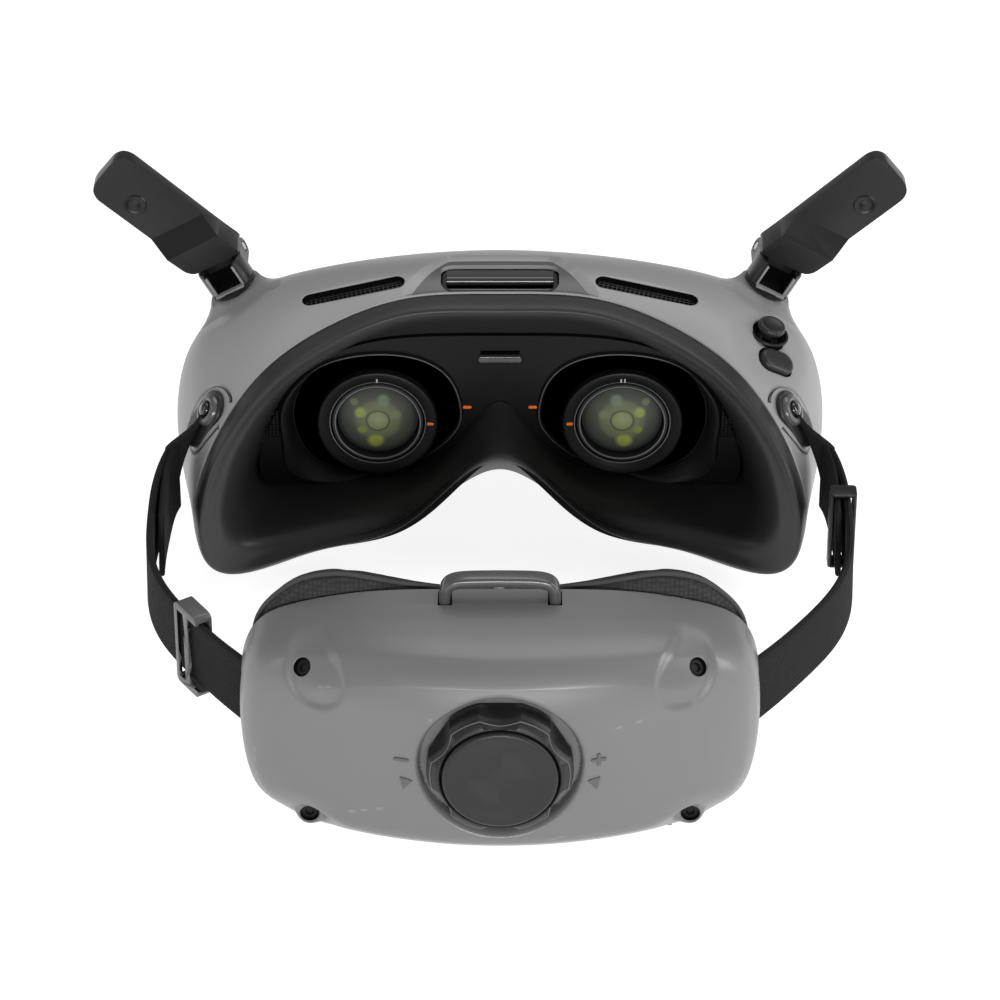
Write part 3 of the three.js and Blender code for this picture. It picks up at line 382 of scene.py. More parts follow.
def open_spline(points, count):
    """Points at even steps along the smooth curve from the first given point to the last."""
    points = np.asarray(points, float)
    n = len(points)
    system = (4 * np.eye(n) + np.eye(n, k=1) + np.eye(n, k=-1)) / 6
    system[0], system[-1] = np.eye(n)[0], np.eye(n)[-1]
    control = np.linalg.solve(system, points.reshape(n, -1))
    control = np.vstack([2 * control[0] - control[1], control, 2 * control[-1] - control[-2]])
    t = np.minimum(np.linspace(0, n - 1, count), n - 1 - 1e-9)
    return spline_values(control, t + 1, lambda i: i).reshape((count,) + points.shape[1:])


def spline_values(control, t, wrap):
    i = np.floor(t).astype(int)
    f = (t - i)[:, None]
    weights = ((1 - f) ** 3, 3 * f ** 3 - 6 * f ** 2 + 4, -3 * f ** 3 + 3 * f ** 2 + 3 * f + 1, f ** 3)
    return sum(w * control[wrap(i + k - 1)] for k, w in enumerate(weights)) / 6


def whole_loop(half):
    half = np.asarray(half, float)
    return np.vstack([half, half[1:-1][::-1] * [-1, 1, 1]])


def surface(half_sections, around, across):
    """Rows of points: one closed row for each step from the first section to the last."""
    loops = np.array([closed_spline(whole_loop(half), around) for half in half_sections])
    return open_spline(loops, across + 1)


def row_normals(rows):
    along = np.roll(rows, -1, axis=1) - np.roll(rows, 1, axis=1)
    return unit(np.cross(along, np.gradient(rows, axis=0)))


ROUNDING_STEPS = np.radians([90, 65, 40, 18, 0])


def rounded_skin(outer, normals, inner, radius, end_radius=None):
    """Closed skin from outer rows to inner rows; the outer edges are rounded by the radius."""
    def lip(edge, beyond, normal, r):
        centre = edge - r * beyond - r * normal
        return [centre + r * (beyond * math.sin(a) + normal * math.cos(a)) for a in ROUNDING_STEPS]

    first = lip(outer[0], unit(outer[0] - outer[1]), normals[0], radius)
    last = lip(outer[-1], unit(outer[-1] - outer[-2]), normals[-1], end_radius or radius)[::-1]
    return loft([*first, *outer[1:-1], *last, *inner[::-1]], closed=True)


def rounded_rect(width, height, radius, steps=6):
    radius = min(radius, width / 2 - 0.01, height / 2 - 0.01)
    corners = [(width / 2 - radius, height / 2 - radius, 0), (radius - width / 2, height / 2 - radius, 90),
               (radius - width / 2, radius - height / 2, 180), (width / 2 - radius, radius - height / 2, 270)]
    return np.array([
        [x + radius * math.cos(math.radians(start + 90 * k / steps)),
         y + radius * math.sin(math.radians(start + 90 * k / steps))]
        for x, y, start in corners for k in range(steps + 1)
    ])


def circle(radius, steps=48):
    turn = np.arange(steps) * 2 * math.pi / steps
    return np.column_stack([radius * np.cos(turn), radius * np.sin(turn)])


def grown(outline, amount):
    """An outline moved outwards along its own normals; it runs anticlockwise."""
    along = unit(np.roll(outline, -1, axis=0) - np.roll(outline, 1, axis=0))
    return outline + amount * np.column_stack([along[:, 1], -along[:, 0]])


def rounded_corners(outline, radius, steps=5):
    """The outline with each corner replaced by an arc-like curve of about that radius."""
    points = []
    for i, corner in enumerate(outline):
        before, after = outline[i - 1], outline[(i + 1) % len(outline)]
        r = min(radius, 0.45 * np.linalg.norm(before - corner), 0.45 * np.linalg.norm(after - corner))
        start, end = corner + r * unit(before - corner), corner + r * unit(after - corner)
        for k in range(steps + 1):
            t = k / steps
            points.append((1 - t) ** 2 * start + 2 * t * (1 - t) * corner + t ** 2 * end)
    return np.array(points)


def resampled(outline, count):
    """The same closed outline with points at even distances."""
    closed = np.vstack([outline, outline[:1]])
    run = np.concatenate([[0], np.cumsum(np.linalg.norm(np.diff(closed, axis=0), axis=1))])
    at = np.arange(count) * run[-1] / count
    return np.column_stack([np.interp(at, run, closed[:, k]) for k in (0, 1)])


def prism(outline, low, high):
    """A body with the outline in its first two coordinates and its height along the third."""
    return loft([np.column_stack([outline, np.full(len(outline), z)]) for z in (low, high)])


def rounded_prism(outline, low, high, radius):
    """A prism whose two rims are rounded."""
    outline = np.asarray(outline, float)
    steps = np.radians([0, 30, 60, 90])
    rings = [(radius * (math.sin(a) - 1), low + radius * (1 - math.cos(a))) for a in steps]
    rings += [(radius * (math.sin(a) - 1), high - radius * (1 - math.cos(a))) for a in steps[::-1]]
    return loft([np.column_stack([grown(outline, g), np.full(len(outline), z)]) for g, z in rings])


# Axes for shapes that are drawn flat: which way their own x, y and height point.
XZ = np.array([[1, 0, 0], [0, 0, 1], [0, 1, 0]]).T  # drawn x and z; height along +Y


def turned(profile, axis_matrix=XZ, origin=(0, 0, 0), steps=64, closed=False):
    """A turned body; the profile lists radius and height."""
    rings = [np.column_stack([circle(max(r, 1e-3), steps), np.full(steps, h)]) for r, h in profile]
    return moved(loft(rings, closed=closed), axis_matrix, origin)


def rod_between(start, end, radius, steps=24):
    start, end = np.asarray(start, float), np.asarray(end, float)
    along = unit(end - start)
    side = unit(np.cross(along, [0, 0, 1] if abs(along[2]) < 0.9 else [1, 0, 0]))
    axes = np.column_stack([side, np.cross(along, side), along])
    return turned([(radius, 0), (radius, np.linalg.norm(end - start))], axes, start, steps)


def box_body(low, high):
    x, y = (low[0] + high[0]) / 2, (low[1] + high[1]) / 2
    outline = np.array([[1, 1], [-1, 1], [-1, -1], [1, -1]]) * [(high[0] - low[0]) / 2,
                                                                (high[1] - low[1]) / 2]
    return prism(outline + [x, y], low[2], high[2])


# ---- object helpers ----
def applied(obj):
    """Bakes the object's modifiers into its mesh."""
    graph = bpy.context.evaluated_depsgraph_get()
    mesh = bpy.data.meshes.new_from_object(obj.evaluated_get(graph))
    obj.modifiers.clear()
    obj.data = mesh


def combined(obj, body, operation):
    """Cuts, joins or intersects a body with the object's mesh."""
    tool = new_object("tool", *body)
    change = obj.modifiers.new(operation, "BOOLEAN")
    change.operation = operation
    change.object = tool
    change.solver = "MANIFOLD"
    bpy.context.view_layer.update()
    applied(obj)
    bpy.data.objects.remove(tool)


def carve(obj, *bodies):
    for body in bodies:
        combined(obj, body, "DIFFERENCE")


def bevel(obj, width, segments=3, angle=30):
    change = obj.modifiers.new("bevel", "BEVEL")
    change.width = width * MM
    change.segments = segments
    change.limit_method = "ANGLE"
    change.angle_limit = math.radians(angle)
    change.harden_normals = False
    bpy.context.view_layer.update()
    applied(obj)


def shade(obj, angle=32):
    obj.data.shade_smooth()
    obj.data.set_sharp_from_angle(angle=math.radians(angle))


def smooth_like(obj, tree, source):
    """After cutting, gives what is left of a smooth surface the normals that it had before."""
    shade(obj)
    mesh = obj.data
    normals = [n.vector.copy() for n in mesh.corner_normals]
    vertex_normals = [Vector(n.vector) for n in source.vertex_normals]
    nearest = [tree.find_nearest(v.co) for v in mesh.vertices]
    near = 0.02 * MM
    for face in mesh.polygons:
        for corner in face.loop_indices:
            hit, flat, index, distance = nearest[mesh.loops[corner].vertex_index]
            if distance > near or face.normal.dot(flat) < 0.985:
                continue
            ring = source.polygons[index].vertices
            shares = [1 / ((source.vertices[v].co - hit).length + 1e-7) for v in ring]
            normals[corner] = sum((vertex_normals[v] * s for v, s in zip(ring, shares)),
                                  Vector()).normalized()
    mesh.normals_split_custom_set(normals)


def painted(obj, look, chosen):
    """Gives the faces picked by a test of centre and normal, in millimetres, a second finish."""
    obj.data.materials.append(looks[look])
    index = len(obj.data.materials) - 1
    for face in obj.data.polygons:
        if chosen(np.array(face.center) / MM - SHIFT, np.array(face.normal)):
            face.material_index = index


def finish_piece(obj, look, body, *nodes, slot=None, angle=32, shaded=False):
    obj.data.materials.clear()
    obj.data.materials.append(looks[look])
    if not shaded:
        shade(obj, angle)
    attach(obj, body)
    if nodes:
        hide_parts(*nodes)
    return obj


def piece(name, body_mesh, look, body, *nodes, slot=None, edge=0, angle=32):
    obj = new_object(name, *body_mesh)
    if edge:
        bevel(obj, edge)
    return finish_piece(obj, look, body, *nodes, slot=slot, angle=angle)


SIDES = {"right": 1, "left": -1}

# Painted reflections in each lens: rings of [radius, sRGB levels], from the middle out, and soft blobs of
# painted reflection in the coating's colours: [x towards the temple, z, radius, sRGB levels].
LENS_REFLECTION_RINGS = [(0, (118, 126, 92)), (2.6, (104, 112, 80)), (3.0, (58, 64, 48)), (3.5, (92, 98, 74)),
              (5.6, (84, 88, 70)),
              (6.6, (66, 69, 62)), (9.2, (52, 54, 50)), (10.2, (34, 35, 34))]
LENS_REFLECTION_BLOBS = [(0.6, -6.6, 3.0, (142, 150, 62)), (4.6, 2.4, 2.2, (126, 138, 70)),
              (-4.8, 1.6, 2.0, (96, 104, 74)),
              (4.2, -3.0, 1.8, (110, 120, 62)), (-1.5, 6.0, 2.4, (96, 108, 92)),
              (6.2, 5.4, 1.6, (88, 96, 70))]


def levels(colour):
    return (*[grey(level)[0] for level in colour], 1)


def painted_lens_reflections():
    """Coated glass with painted reflections: soft rings and blobs of reflected light round the lens's axis,
    painted into its colour and made to glow, under a clear gloss.
    """
    look = bpy.data.materials.new("lens_glass")
    look.use_nodes = True
    tree = look.node_tree
    surface = tree.nodes["Principled BSDF"]
    place = node(tree, "ShaderNodeSeparateXYZ", {0: node(tree, "ShaderNodeTexCoord").outputs["Object"]})
    outward_x = node(tree, "ShaderNodeMath", {0: place.outputs[0]}, operation="ABSOLUTE").outputs[0]
    middle = (np.array([EYE_X, 0, EYE_Z]) + SHIFT) * MM
    flat = node(tree, "ShaderNodeCombineXYZ", {0: outward_x, 2: place.outputs[2]}).outputs[0]

    def distance(x, z):
        at = (middle[0] + x * MM, 0, middle[2] + z * MM)
        away = node(tree, "ShaderNodeVectorMath", {0: flat, 1: at}, operation="DISTANCE").outputs["Value"]
        return node(tree, "ShaderNodeMath", {0: away, 1: 1 / MM}, operation="MULTIPLY").outputs[0]

    reach = node(tree, "ShaderNodeMath", {0: distance(0, 0), 1: LENS_R}, operation="DIVIDE").outputs[0]
    ramp = node(tree, "ShaderNodeValToRGB", {0: reach})
    ramp.color_ramp.elements.remove(ramp.color_ramp.elements[1])
    for k, (radius, colour) in enumerate(LENS_REFLECTION_RINGS):
        stop = ramp.color_ramp.elements[0] if k == 0 else ramp.color_ramp.elements.new(radius / LENS_R)
        stop.position = radius / LENS_R
        stop.color = levels(colour)
    shade = ramp.outputs[0]
    cloud = node(tree, "ShaderNodeTexNoise", {"Vector": flat, "Scale": 260, "Detail": 3}).outputs["Fac"]
    for x, z, radius, colour in LENS_REFLECTION_BLOBS:
        share = node(tree, "ShaderNodeMapRange", {
            "Value": distance(x, z), "From Min": radius, "From Max": 0.3 * radius, "To Min": 0.0,
            "To Max": 0.9,
        }, interpolation_type="SMOOTHERSTEP").outputs[0]
        uneven = node(tree, "ShaderNodeMath", {0: share, 1: cloud}, operation="MULTIPLY").outputs[0]
        strong = node(tree, "ShaderNodeMath", {0: uneven, 1: 1.6}, operation="MULTIPLY",
                      use_clamp=True).outputs[0]
        shade = node(tree, "ShaderNodeMix", {0: strong, 6: shade, 7: levels(colour)},
                     data_type="RGBA").outputs[2]
    tree.links.new(shade, surface.inputs["Base Color"])
    # Painted glow: the lens gives off its painted colours as light of its own.
    tree.links.new(shade, surface.inputs["Emission Color"])
    surface.inputs["Emission Strength"].default_value = 0.3
    surface.inputs["Roughness"].default_value = 0.25
    surface.inputs["Specular IOR Level"].default_value = 0.15
    return look


looks["lens_glass"] = painted_lens_reflections()


# ---- housing ----
def seam_depth(x, lower):
    """How far forward the seam between housing and face pad lies: it wraps back round the temples."""
    wrap = 37 * (abs(x) / 80) ** 2.6
    cheek = 11 * (1 - (x / 80) ** 4)
    return 1 - wrap - (cheek if lower else 0)


# Half outlines, [x, z], from the brow's centre round the temple and cheek to the nose bridge.
seam_outline = [
    [0, 72], [23.5, 71.7], [44, 67.3], [61, 60], [72.2, 48.6], [77.7, 37.8], [79.6, 26.6],
    [77, 12], [66, 3.2], [47, 4.6], [29, 8.4], [14.5, 16], [0, 24],
]
waist_outline = [
    [0, 69.5], [24.5, 69.3], [46, 68.5], [65, 65.3], [79.5, 55.5], [85, 40], [85.5, 25],
    [81, 9.5], [67, 0.5], [47, 1.4], [28, 5.4], [13.5, 12.4], [0, 19],
]
shoulder_outline = [
    [0, 63], [24, 62.8], [45, 61.5], [62, 58], [74.5, 49], [80, 37], [80, 24],
    [75.5, 12], [62, 4], [44, 3], [27, 5.8], [13, 11.8], [0, 17.6],
]
shelf_outline = [
    [0, 58], [22, 57.7], [40, 56], [51, 52], [56, 44.5], [58, 36], [57.5, 26],
    [54, 16], [46, 9], [35, 6.6], [23, 7.6], [11.5, 12], [0, 16.8],
]
front_outline = [
    [0, 52], [20, 51.8], [36, 50], [45, 46.5], [49, 41], [50.5, 34], [50, 26],
    [47, 18], [40.5, 12.5], [31, 9.8], [20.5, 10.8], [10.5, 14.2], [0, 18],
]
LOWER_FROM = 7  # stations from here down belong to the cheeks and nose

seam = np.array([[x, seam_depth(x, i >= LOWER_FROM), z] for i, (x, z) in enumerate(seam_outline)])
waist = np.array([[x, 27 - 25 * (x / 85) ** 2, z] for x, z in waist_outline])
crest = mix(seam, waist, 0.42) + np.array([[0, 0, 3.2 * smooth(z, 30, 66)] for z in seam[:, 2]])
shoulder = np.array([[x, 37 - 20 * (x / 80) ** 2, z] for x, z in shoulder_outline])
shelf = np.array([[x, 43 - 23 * smooth(abs(x), 32, 57), z] for x, z in shelf_outline])
front = np.array([[x, 49 - 7 * (x / 50) ** 2, z] for x, z in front_outline])

HOUSING_AROUND = 384
HOUSING_ACROSS = 96
housing_rows = surface([seam, crest, waist, shoulder, shelf, front], HOUSING_AROUND, HOUSING_ACROSS)
housing_normals = row_normals(housing_rows)
housing_tree = BVHTree.FromPolygons(*[list(map(list, part)) for part in loft(housing_rows, caps=False)])


def on_housing(target):
    """The point of the housing's smooth surface nearest to a target, and its outward normal."""
    flat = housing_rows.reshape(-1, 3)
    best = np.argmin(np.linalg.norm(flat - np.asarray(target), axis=1))
    return flat[best], housing_normals.reshape(-1, 3)[best]


def tangent_axes(normal, along):
    x = unit(np.asarray(along, float) - np.dot(along, normal) * normal)
    return np.column_stack([x, np.cross(normal, x), normal])


stub_axis = np.array([math.sin(STUB_TILT), 0, math.cos(STUB_TILT)])
pin_axis = np.array([math.cos(STUB_TILT), 0, -math.sin(STUB_TILT)])
STUB_AXES = np.column_stack([pin_axis, [0, 1, 0], stub_axis])
PIN_AT = STUB_BASE + PIN_FORWARD * STUB_AXES[:, 1] + PIN_ABOVE * stub_axis

HORN_R = 6.9
HORN_FOOT = np.array([69.5, 15.5, 59])
HORN_SPREAD = 14.5  # how far from its middle the horn starts to rise out of the housing
HORN_CORE = 5  # what lies nearer than this to the middle ends above the stub's seat
HORN_SPARE = 2.0
HORN_LEAD, HORN_ARRIVAL = 1.0, 12.0


def sampled(rows, at_row, at_column):
    """The surface at a place between its grid points."""
    r, c = int(at_row), int(math.floor(at_column))
    f, g = at_row - r, at_column - c
    count = rows.shape[1]
    near, far = rows[r, c % count], rows[r, (c + 1) % count]
    near_next, far_next = rows[r + 1, c % count], rows[r + 1, (c + 1) % count]
    return mix(mix(near, far, g), mix(near_next, far_next, g), f)


def with_horns(rows):
    """Draws the housing's upper corners out into the two horns that carry the antenna stubs."""
    made = rows.copy()
    count = rows.shape[1]
    r0, c0 = np.unravel_index(np.argmin(np.linalg.norm(rows - HORN_FOOT, axis=-1)), rows.shape[:2])
    axes = tangent_axes(housing_normals[r0, c0], pin_axis)
    per_column = (rows[r0, c0 + 1] - rows[r0, c0 - 1]) / 2 @ axes[:, :2]
    per_row = (rows[r0 + 1, c0] - rows[r0 - 1, c0]) / 2 @ axes[:, :2]
    to_plane = np.column_stack([per_column, per_row])
    to_grid = np.linalg.inv(to_plane)

    def surface_at(turn, distance):
        column, row = to_grid @ [distance * math.cos(turn), distance * math.sin(turn)]
        return sampled(rows, r0 + row, c0 + column)

    run = HORN_SPREAD - HORN_CORE
    reach = 60
    for i in range(max(0, r0 - reach), min(len(rows), r0 + reach)):
        for j in range(c0 - reach, c0 + reach):
            u, v = to_plane @ [j - c0, i - r0]
            distance = math.hypot(u, v)
            if distance >= HORN_SPREAD:
                continue
            turn = math.atan2(v, u)
            ring = math.cos(turn) * pin_axis + math.sin(turn) * np.array([0, 1, 0])
            seat = STUB_BASE + HORN_SPARE * stub_axis
            if distance <= HORN_CORE:
                made[i, j] = seat + HORN_R * ring * distance / HORN_CORE
                continue
            start = surface_at(turn, HORN_SPREAD)
            inward = (surface_at(turn, HORN_SPREAD - 1) - surface_at(turn, HORN_SPREAD + 1)) / 2
            t = (HORN_SPREAD - distance) / run
            made[i, j] = hermite(t, start, inward * run * HORN_LEAD, seat + HORN_R * ring,
                                 HORN_ARRIVAL * stub_axis)
    right = np.arange(1, count // 2)
    made[:, count - right] = made[:, right] * [-1, 1, 1]
    return made


JOYSTICK_R = 3.7
joystick_at = np.array([70.5, -2.2, 62.1])
joystick_axes = tangent_axes(unit([0.26, -0.12, 0.96]), [1, 0, 0])

BACK_BUTTON = (10, 6.4)
back_at = np.array([72.5, -9.7, 57.9])
back_axes = tangent_axes(unit([0.577, -0.352, 0.737]), [1, 0, 0])

VENT_LENGTH, VENT_WIDTH = 27, 4.2
VENT_ENDS = np.array([[25.2, 5.3, 73.6], [52, 1.5, 69.2]])
vent_at, vent_normal = on_housing(VENT_ENDS.mean(axis=0))
vent_axes = tangent_axes(vent_normal, VENT_ENDS[1] - VENT_ENDS[0])

ANCHOR_WIDTH, ANCHOR_HEIGHT = 10.5, 17
ANCHOR_SINK = 1.1
ANCHOR_PIN = np.array([0, -3])
anchor_at = np.array([76.94, -20.3, 46.83])
anchor_axes = tangent_axes(unit([0.809, -0.316, 0.496]), [0, -1, 0])


def surface_cutter(at, axes, outline, rounding, depth):
    """A cutter that follows the housing: its mouth flares so that the cut's edge comes out rounded."""
    normal = axes[:, 2]
    ramp = [(1.81 + 0.58 * rounding, 0.85 - 0.09 * rounding)]
    ramp += [(rounding * (1 - math.sin(a)), rounding * (math.cos(a) - 1)) for a in np.radians([25, 45, 67,
                                                                                               90])]
    ramp.append((0, -depth))
    rings = []
    for grow, rise in ramp:
        ring = []
        for x, y in grown(outline, grow):
            start = at + x * axes[:, 0] + y * axes[:, 1] + 12 * normal
            hit = housing_tree.ray_cast(Vector(start), Vector(-normal))[0]
            ring.append(np.array(hit) + rise * normal)
        rings.append(ring)
    return loft(rings)


# The tray in the brow: a trapezoid with chamfered walls, whose floor follows the housing.
TRAY_OUTLINE = np.array([[25, -4], [23.6, 0.5], [13.4, 17.4], [-13.4, 17.4], [-23.6, 0.5], [-25, -4]])
TRAY_DEPTH = 1.2
TRAY_SLOPE = 1.67  # how far the walls lean out for each millimetre of rise
BAR_SLOT = (31, 12)
BAR_Y = 8.2


def brow_height(x, y):
    hit = housing_tree.ray_cast(Vector((x, y, 90)), Vector((0, 0, -1)))[0]
    return hit[2] if hit and hit[2] > 60 else 72


def tray_cutter():
    """The block of space above the tray's floor, within the tray's slanting walls."""
    columns = np.arange(-60, 61) % HOUSING_AROUND
    patch = housing_rows[1:60][:, columns]
    up = housing_normals[1:60][:, columns]
    floor_rows, roof_rows = patch - TRAY_DEPTH * up, patch + 4 * up
    slab = new_object("slab", *loft([np.vstack([floor_rows[:, k],
                                                roof_rows[::-1, k]]) for k in range(len(columns))]))
    outline = resampled(rounded_corners(TRAY_OUTLINE, 1.2), 120)
    rings = []
    for rise in (-6, -TRAY_DEPTH, 4.3):
        ring = grown(outline, max(0, TRAY_SLOPE * (rise + TRAY_DEPTH)))
        rings.append([[x, y, brow_height(x, y) + rise] for x, y in ring])
    walls = loft(rings)
    combined(slab, walls, "INTERSECT")
    points = [np.array(v.co) / MM - SHIFT for v in slab.data.vertices]
    faces = [tuple(face.vertices) for face in slab.data.polygons]
    bpy.data.objects.remove(slab)
    return points, faces


def make_housing():
    rows = with_horns(housing_rows)
    # The thumb's hollow, in which the joystick and the back button sit.
    hollow_at = mix(joystick_at, back_at, 0.45)
    reach = np.linalg.norm((rows - hollow_at) / [1.25, 1.25, 1], axis=-1)
    rows -= housing_normals * (0.9 * smooth(-reach, -12, -5))[..., None]
    inner = housing_rows - HOUSING_WALL * housing_normals
    body = rounded_skin(rows, row_normals(rows), inner, 0.5)
    obj = new_object("housing_shell", *body)
    source = obj.data.copy()
    shade_tree = BVHTree.FromPolygons([v.co for v in source.vertices],
                                      [face.vertices[:] for face in source.polygons])

    above_stub = rounded_rect(30, 30, 2)
    tops = moved(prism(above_stub, 0, 12), STUB_AXES, STUB_BASE)
    carve(obj, tray_cutter(), merged(tops, mirrored(tops)))
    vent = surface_cutter(vent_at, vent_axes, rounded_rect(VENT_LENGTH, VENT_WIDTH, VENT_WIDTH, 10), 0.55, 9)
    anchor = surface_cutter(anchor_at, anchor_axes, rounded_rect(ANCHOR_WIDTH + 0.8, ANCHOR_HEIGHT + 0.8,
                                                                 6.4, 10),
                            0.7, ANCHOR_SINK + 0.3)
    joystick = surface_cutter(joystick_at, joystick_axes, circle(JOYSTICK_R + 1, 64), 0.8, 9)
    back_outline = rounded_rect(BACK_BUTTON[0] + 0.8, BACK_BUTTON[1] + 0.8, 3.2, 10)
    back = surface_cutter(back_at, back_axes, back_outline, 0.5, 9)
    wheel = prism(rounded_rect(20, 12, 5.9, 10) + [EYE_X, 13], -7.6, 4.4)
    stem = box_body((EYE_X - 7, 10.5, 2), (EYE_X + 7, 15.5, 16))
    slot = prism(rounded_rect(*BAR_SLOT, 3.6, 8) + [0, BAR_Y], 66, 84)
    carve(obj, merged(vent, mirrored(vent), joystick), merged(anchor, mirrored(anchor), back),
          merged(wheel, mirrored(wheel)), merged(stem, mirrored(stem)), slot)
    smooth_like(obj, shade_tree, source)
    finish_piece(obj, "housing_grey", "headset", "main_housing", slot="grey_shell", shaded=True)
    painted(obj, "dim_grey", on_tray_floor)
    # Painted shade: the vent slots' walls are painted near-black.
    painted(obj, "black_and_painted_shade", in_vent_shade)


def on_tray_floor(centre, normal):
    x, y, z = centre
    if normal[2] < 0.8 or abs(x) > 30 or not -4 < y < 20 or z < 66:
        return False
    return brow_height(x, y) - z > 0.8 * TRAY_DEPTH


def in_vent_shade(centre, normal):
    """The walls of the vent slots and what lies behind them, which get painted shade."""
    x, y, z = vent_axes.T @ (centre * [np.sign(centre[0]), 1, 1] - vent_at)
    facing = abs(normal * [np.sign(centre[0]), 1, 1] @ vent_axes[:, 2])
    within = abs(x) < VENT_LENGTH / 2 + 0.2 and abs(y) < VENT_WIDTH / 2 + 0.15
    return within and -6 < z < -0.45 and facing < 0.7


def make_front_cover():
    gap = 0.6
    rim = front * [0.985, 1, 1] + [0, gap, 0]
    rim[:, 2] = mix(front[:, 2], 32, 0.015)
    sections = [rim]
    for share, rise in ((0.97, 3.4), (0.86, 6.6), (0.6, 8.8), (0.25, 9.8), (0.02, 10)):
        section = rim * [share, share, 1] + [0, 49 * (1 - share) + rise, 0]
        section[:, 2] = mix(33, rim[:, 2], share)
        sections.append(section)
    rows = surface(sections, 288, 60)
    inner = rows * [0.95, 1, 1] - [0, 2, 0]
    inner[:, :, 2] = mix(rows[:, :, 2], 33, 0.05)
    edge_rise = unit(rows[1] - rows[0])
    start = [mix(inner[0], rows[0], 0.5), rows[0] - 0.1 * edge_rise]
    body = loft([*rows[::-1], *start[::-1], *inner])
    piece("front_cover_shell", body, "gloss_black", "headset", "front_cover")


# ---- face pad ----
pad_rim = np.array([
    [0, -6, 71.6], [23.3, -7, 71.2], [43, -13.5, 66.6], [58.8, -24.5, 60.6], [70.2, -35, 50],
    [75.6, -41, 39.3],
    [77.6, -43, 28.2], [76, -40, 15], [67, -32.5, 6.8], [48, -26.5, 9.5], [28.2, -23, 13],
    [12.5, -19.5, 25.5],
    [0, -18, 33],
])
pad_ridge = np.array([
    [0, -4, 66.6], [23, -5, 66.2], [41, -10, 61.4], [55.5, -18.5, 55], [65.5, -27.5, 45], [69.5, -32, 36],
    [71, -33.5, 27], [69, -30, 17.5], [61.5, -25, 13.8], [46, -19, 14.5], [27.5, -13, 16.5], [12.6, -6, 25.5],
    [0, 0, 35.5],
])
plate_edge = np.array([
    [0, 57.3], [22.4, 56.9], [41, 53], [53, 43.6], [60, 33], [63.6, 23], [65, 15.5],
    [63, 10.6], [55, 10.6], [43, 12.6], [28.4, 13.9], [13.2, 21.5], [0, 36.9],
])
pad_inner_edge = np.column_stack([plate_edge[:, 0], np.full(len(plate_edge), PLATE_Y + 1), plate_edge[:, 1]])


def make_face_pad():
    outer = seam + 0.5 * unit(pad_rim - seam)
    roll = mix(pad_rim, pad_ridge, 0.45) + [0, -1.2, 0]
    foot = mix(pad_ridge, pad_inner_edge, 0.55) + [0, 0.5, 0]
    rows = surface([outer, pad_rim, roll, pad_ridge, foot, pad_inner_edge], HOUSING_AROUND, 110)
    normals = -row_normals(rows)
    inner = rows - PAD_WALL * normals
    fade = smooth(np.arange(len(rows)), 0, 14)[:, None, None]
    under_seam = rows - PAD_WALL * housing_normals[0]
    inner = mix(under_seam, inner, fade)
    body = rounded_skin(rows, normals, inner, 0.9, 0.3)
    piece("face_pad_skirt", body, "soft_rubber", "headset", "face_pad")


# ---- eyepiece plate ----
EYE_OPENING = np.array([
    [11.2, 35], [13.6, 43], [20, 48.8], [30, 51], [41, 49.8], [50, 45], [54.4, 36], [54, 27],
    [49.5, 19], [41, 15.4], [31, 15.6], [22.4, 19], [16.2, 23.6], [12, 29],
])
CARD_SLOT_Z = 51.8


def plate_pieces():
    opening = closed_spline(EYE_OPENING, 180)[::-1]
    edge2d = whole_loop(np.column_stack([plate_edge[:, 0] * 0.994, plate_edge[:, 1] * 0,
                                         mix(plate_edge[:, 1], 33, 0.01)]))
    outline = closed_spline(edge2d, 240)[:, [0, 2]][::-1]
    plate = moved(prism(outline, PLATE_Y, PLATE_Y + 1.6), XZ)
    hole = moved(prism(grown(opening, 0.1), PLATE_Y - 6, PLATE_Y + 8), XZ)
    return opening, plate, hole


def eye_surround(opening):
    """A raised lip round an eye opening: low and thin at the nose, a deep funnel wall at the temple."""
    away = opening - [EYE_X, 33]
    q = smooth(away @ [0.86, -0.5], 9, 19)
    corner = np.exp(-(((opening - [50.5, 20.5]) / [5, 5]) ** 2).sum(axis=1))
    height = 0.9 + 2.6 * q
    back = 0.8 + 2.6 * q + 3.4 * corner
    foot = 0.6 + 0.5 * q
    out = grown(opening, 1) - opening

    def ring(offset, y):
        place = opening + out * np.asarray(offset)[:, None]
        return np.column_stack([place[:, 0], np.broadcast_to(y, len(opening)), place[:, 1]])

    flat = np.zeros(len(opening))
    profile = [
        ring(flat, PLATE_Y + 4.0), ring(flat - 0.1, PLATE_Y + 1.5), ring(0.2 * back, PLATE_Y - 0.25 * height),
        ring(0.62 * back, PLATE_Y - 0.8 * height), ring(0.92 * back, PLATE_Y - 0.99 * height),
        ring(back + 0.25 * foot, PLATE_Y - 0.9 * height), ring(back + 0.7 * foot, PLATE_Y - 0.35 * height),
        ring(back + foot, PLATE_Y + 0.6),
    ]
    rows = open_spline(np.array(profile), 30)
    closing = [ring(back + foot, PLATE_Y + 1.2), ring(flat + 0.5, PLATE_Y + 4.0)]
    return loft([*rows, *closing], closed=True)


def lip_highlight_line(opening):
    """A painted highlight on the crest of the lip: a thin light line, which fades out towards the temple and
    below.
    """
    turn = np.degrees(np.arctan2(opening[:, 1] - 33, opening[:, 0] - EYE_X))
    away = grown(opening, 1) - opening
    out = opening + 0.75 * away
    thick = 0.16 * smooth(np.cos(np.radians(turn - 130)), -0.2, 0.5) + 0.01
    turns = np.arange(8) * 2 * math.pi / 8
    rings = []
    for (x, z), (ax, az), r in zip(out, away, thick):
        middle = np.array([x, PLATE_Y - 0.9, z])
        side, rear = np.array([ax, 0, az]), np.array([0, -1, 0])
        rings.append([middle + r * (math.cos(a) * side + math.sin(a) * rear) for a in turns])
    return loft(rings, closed=True)


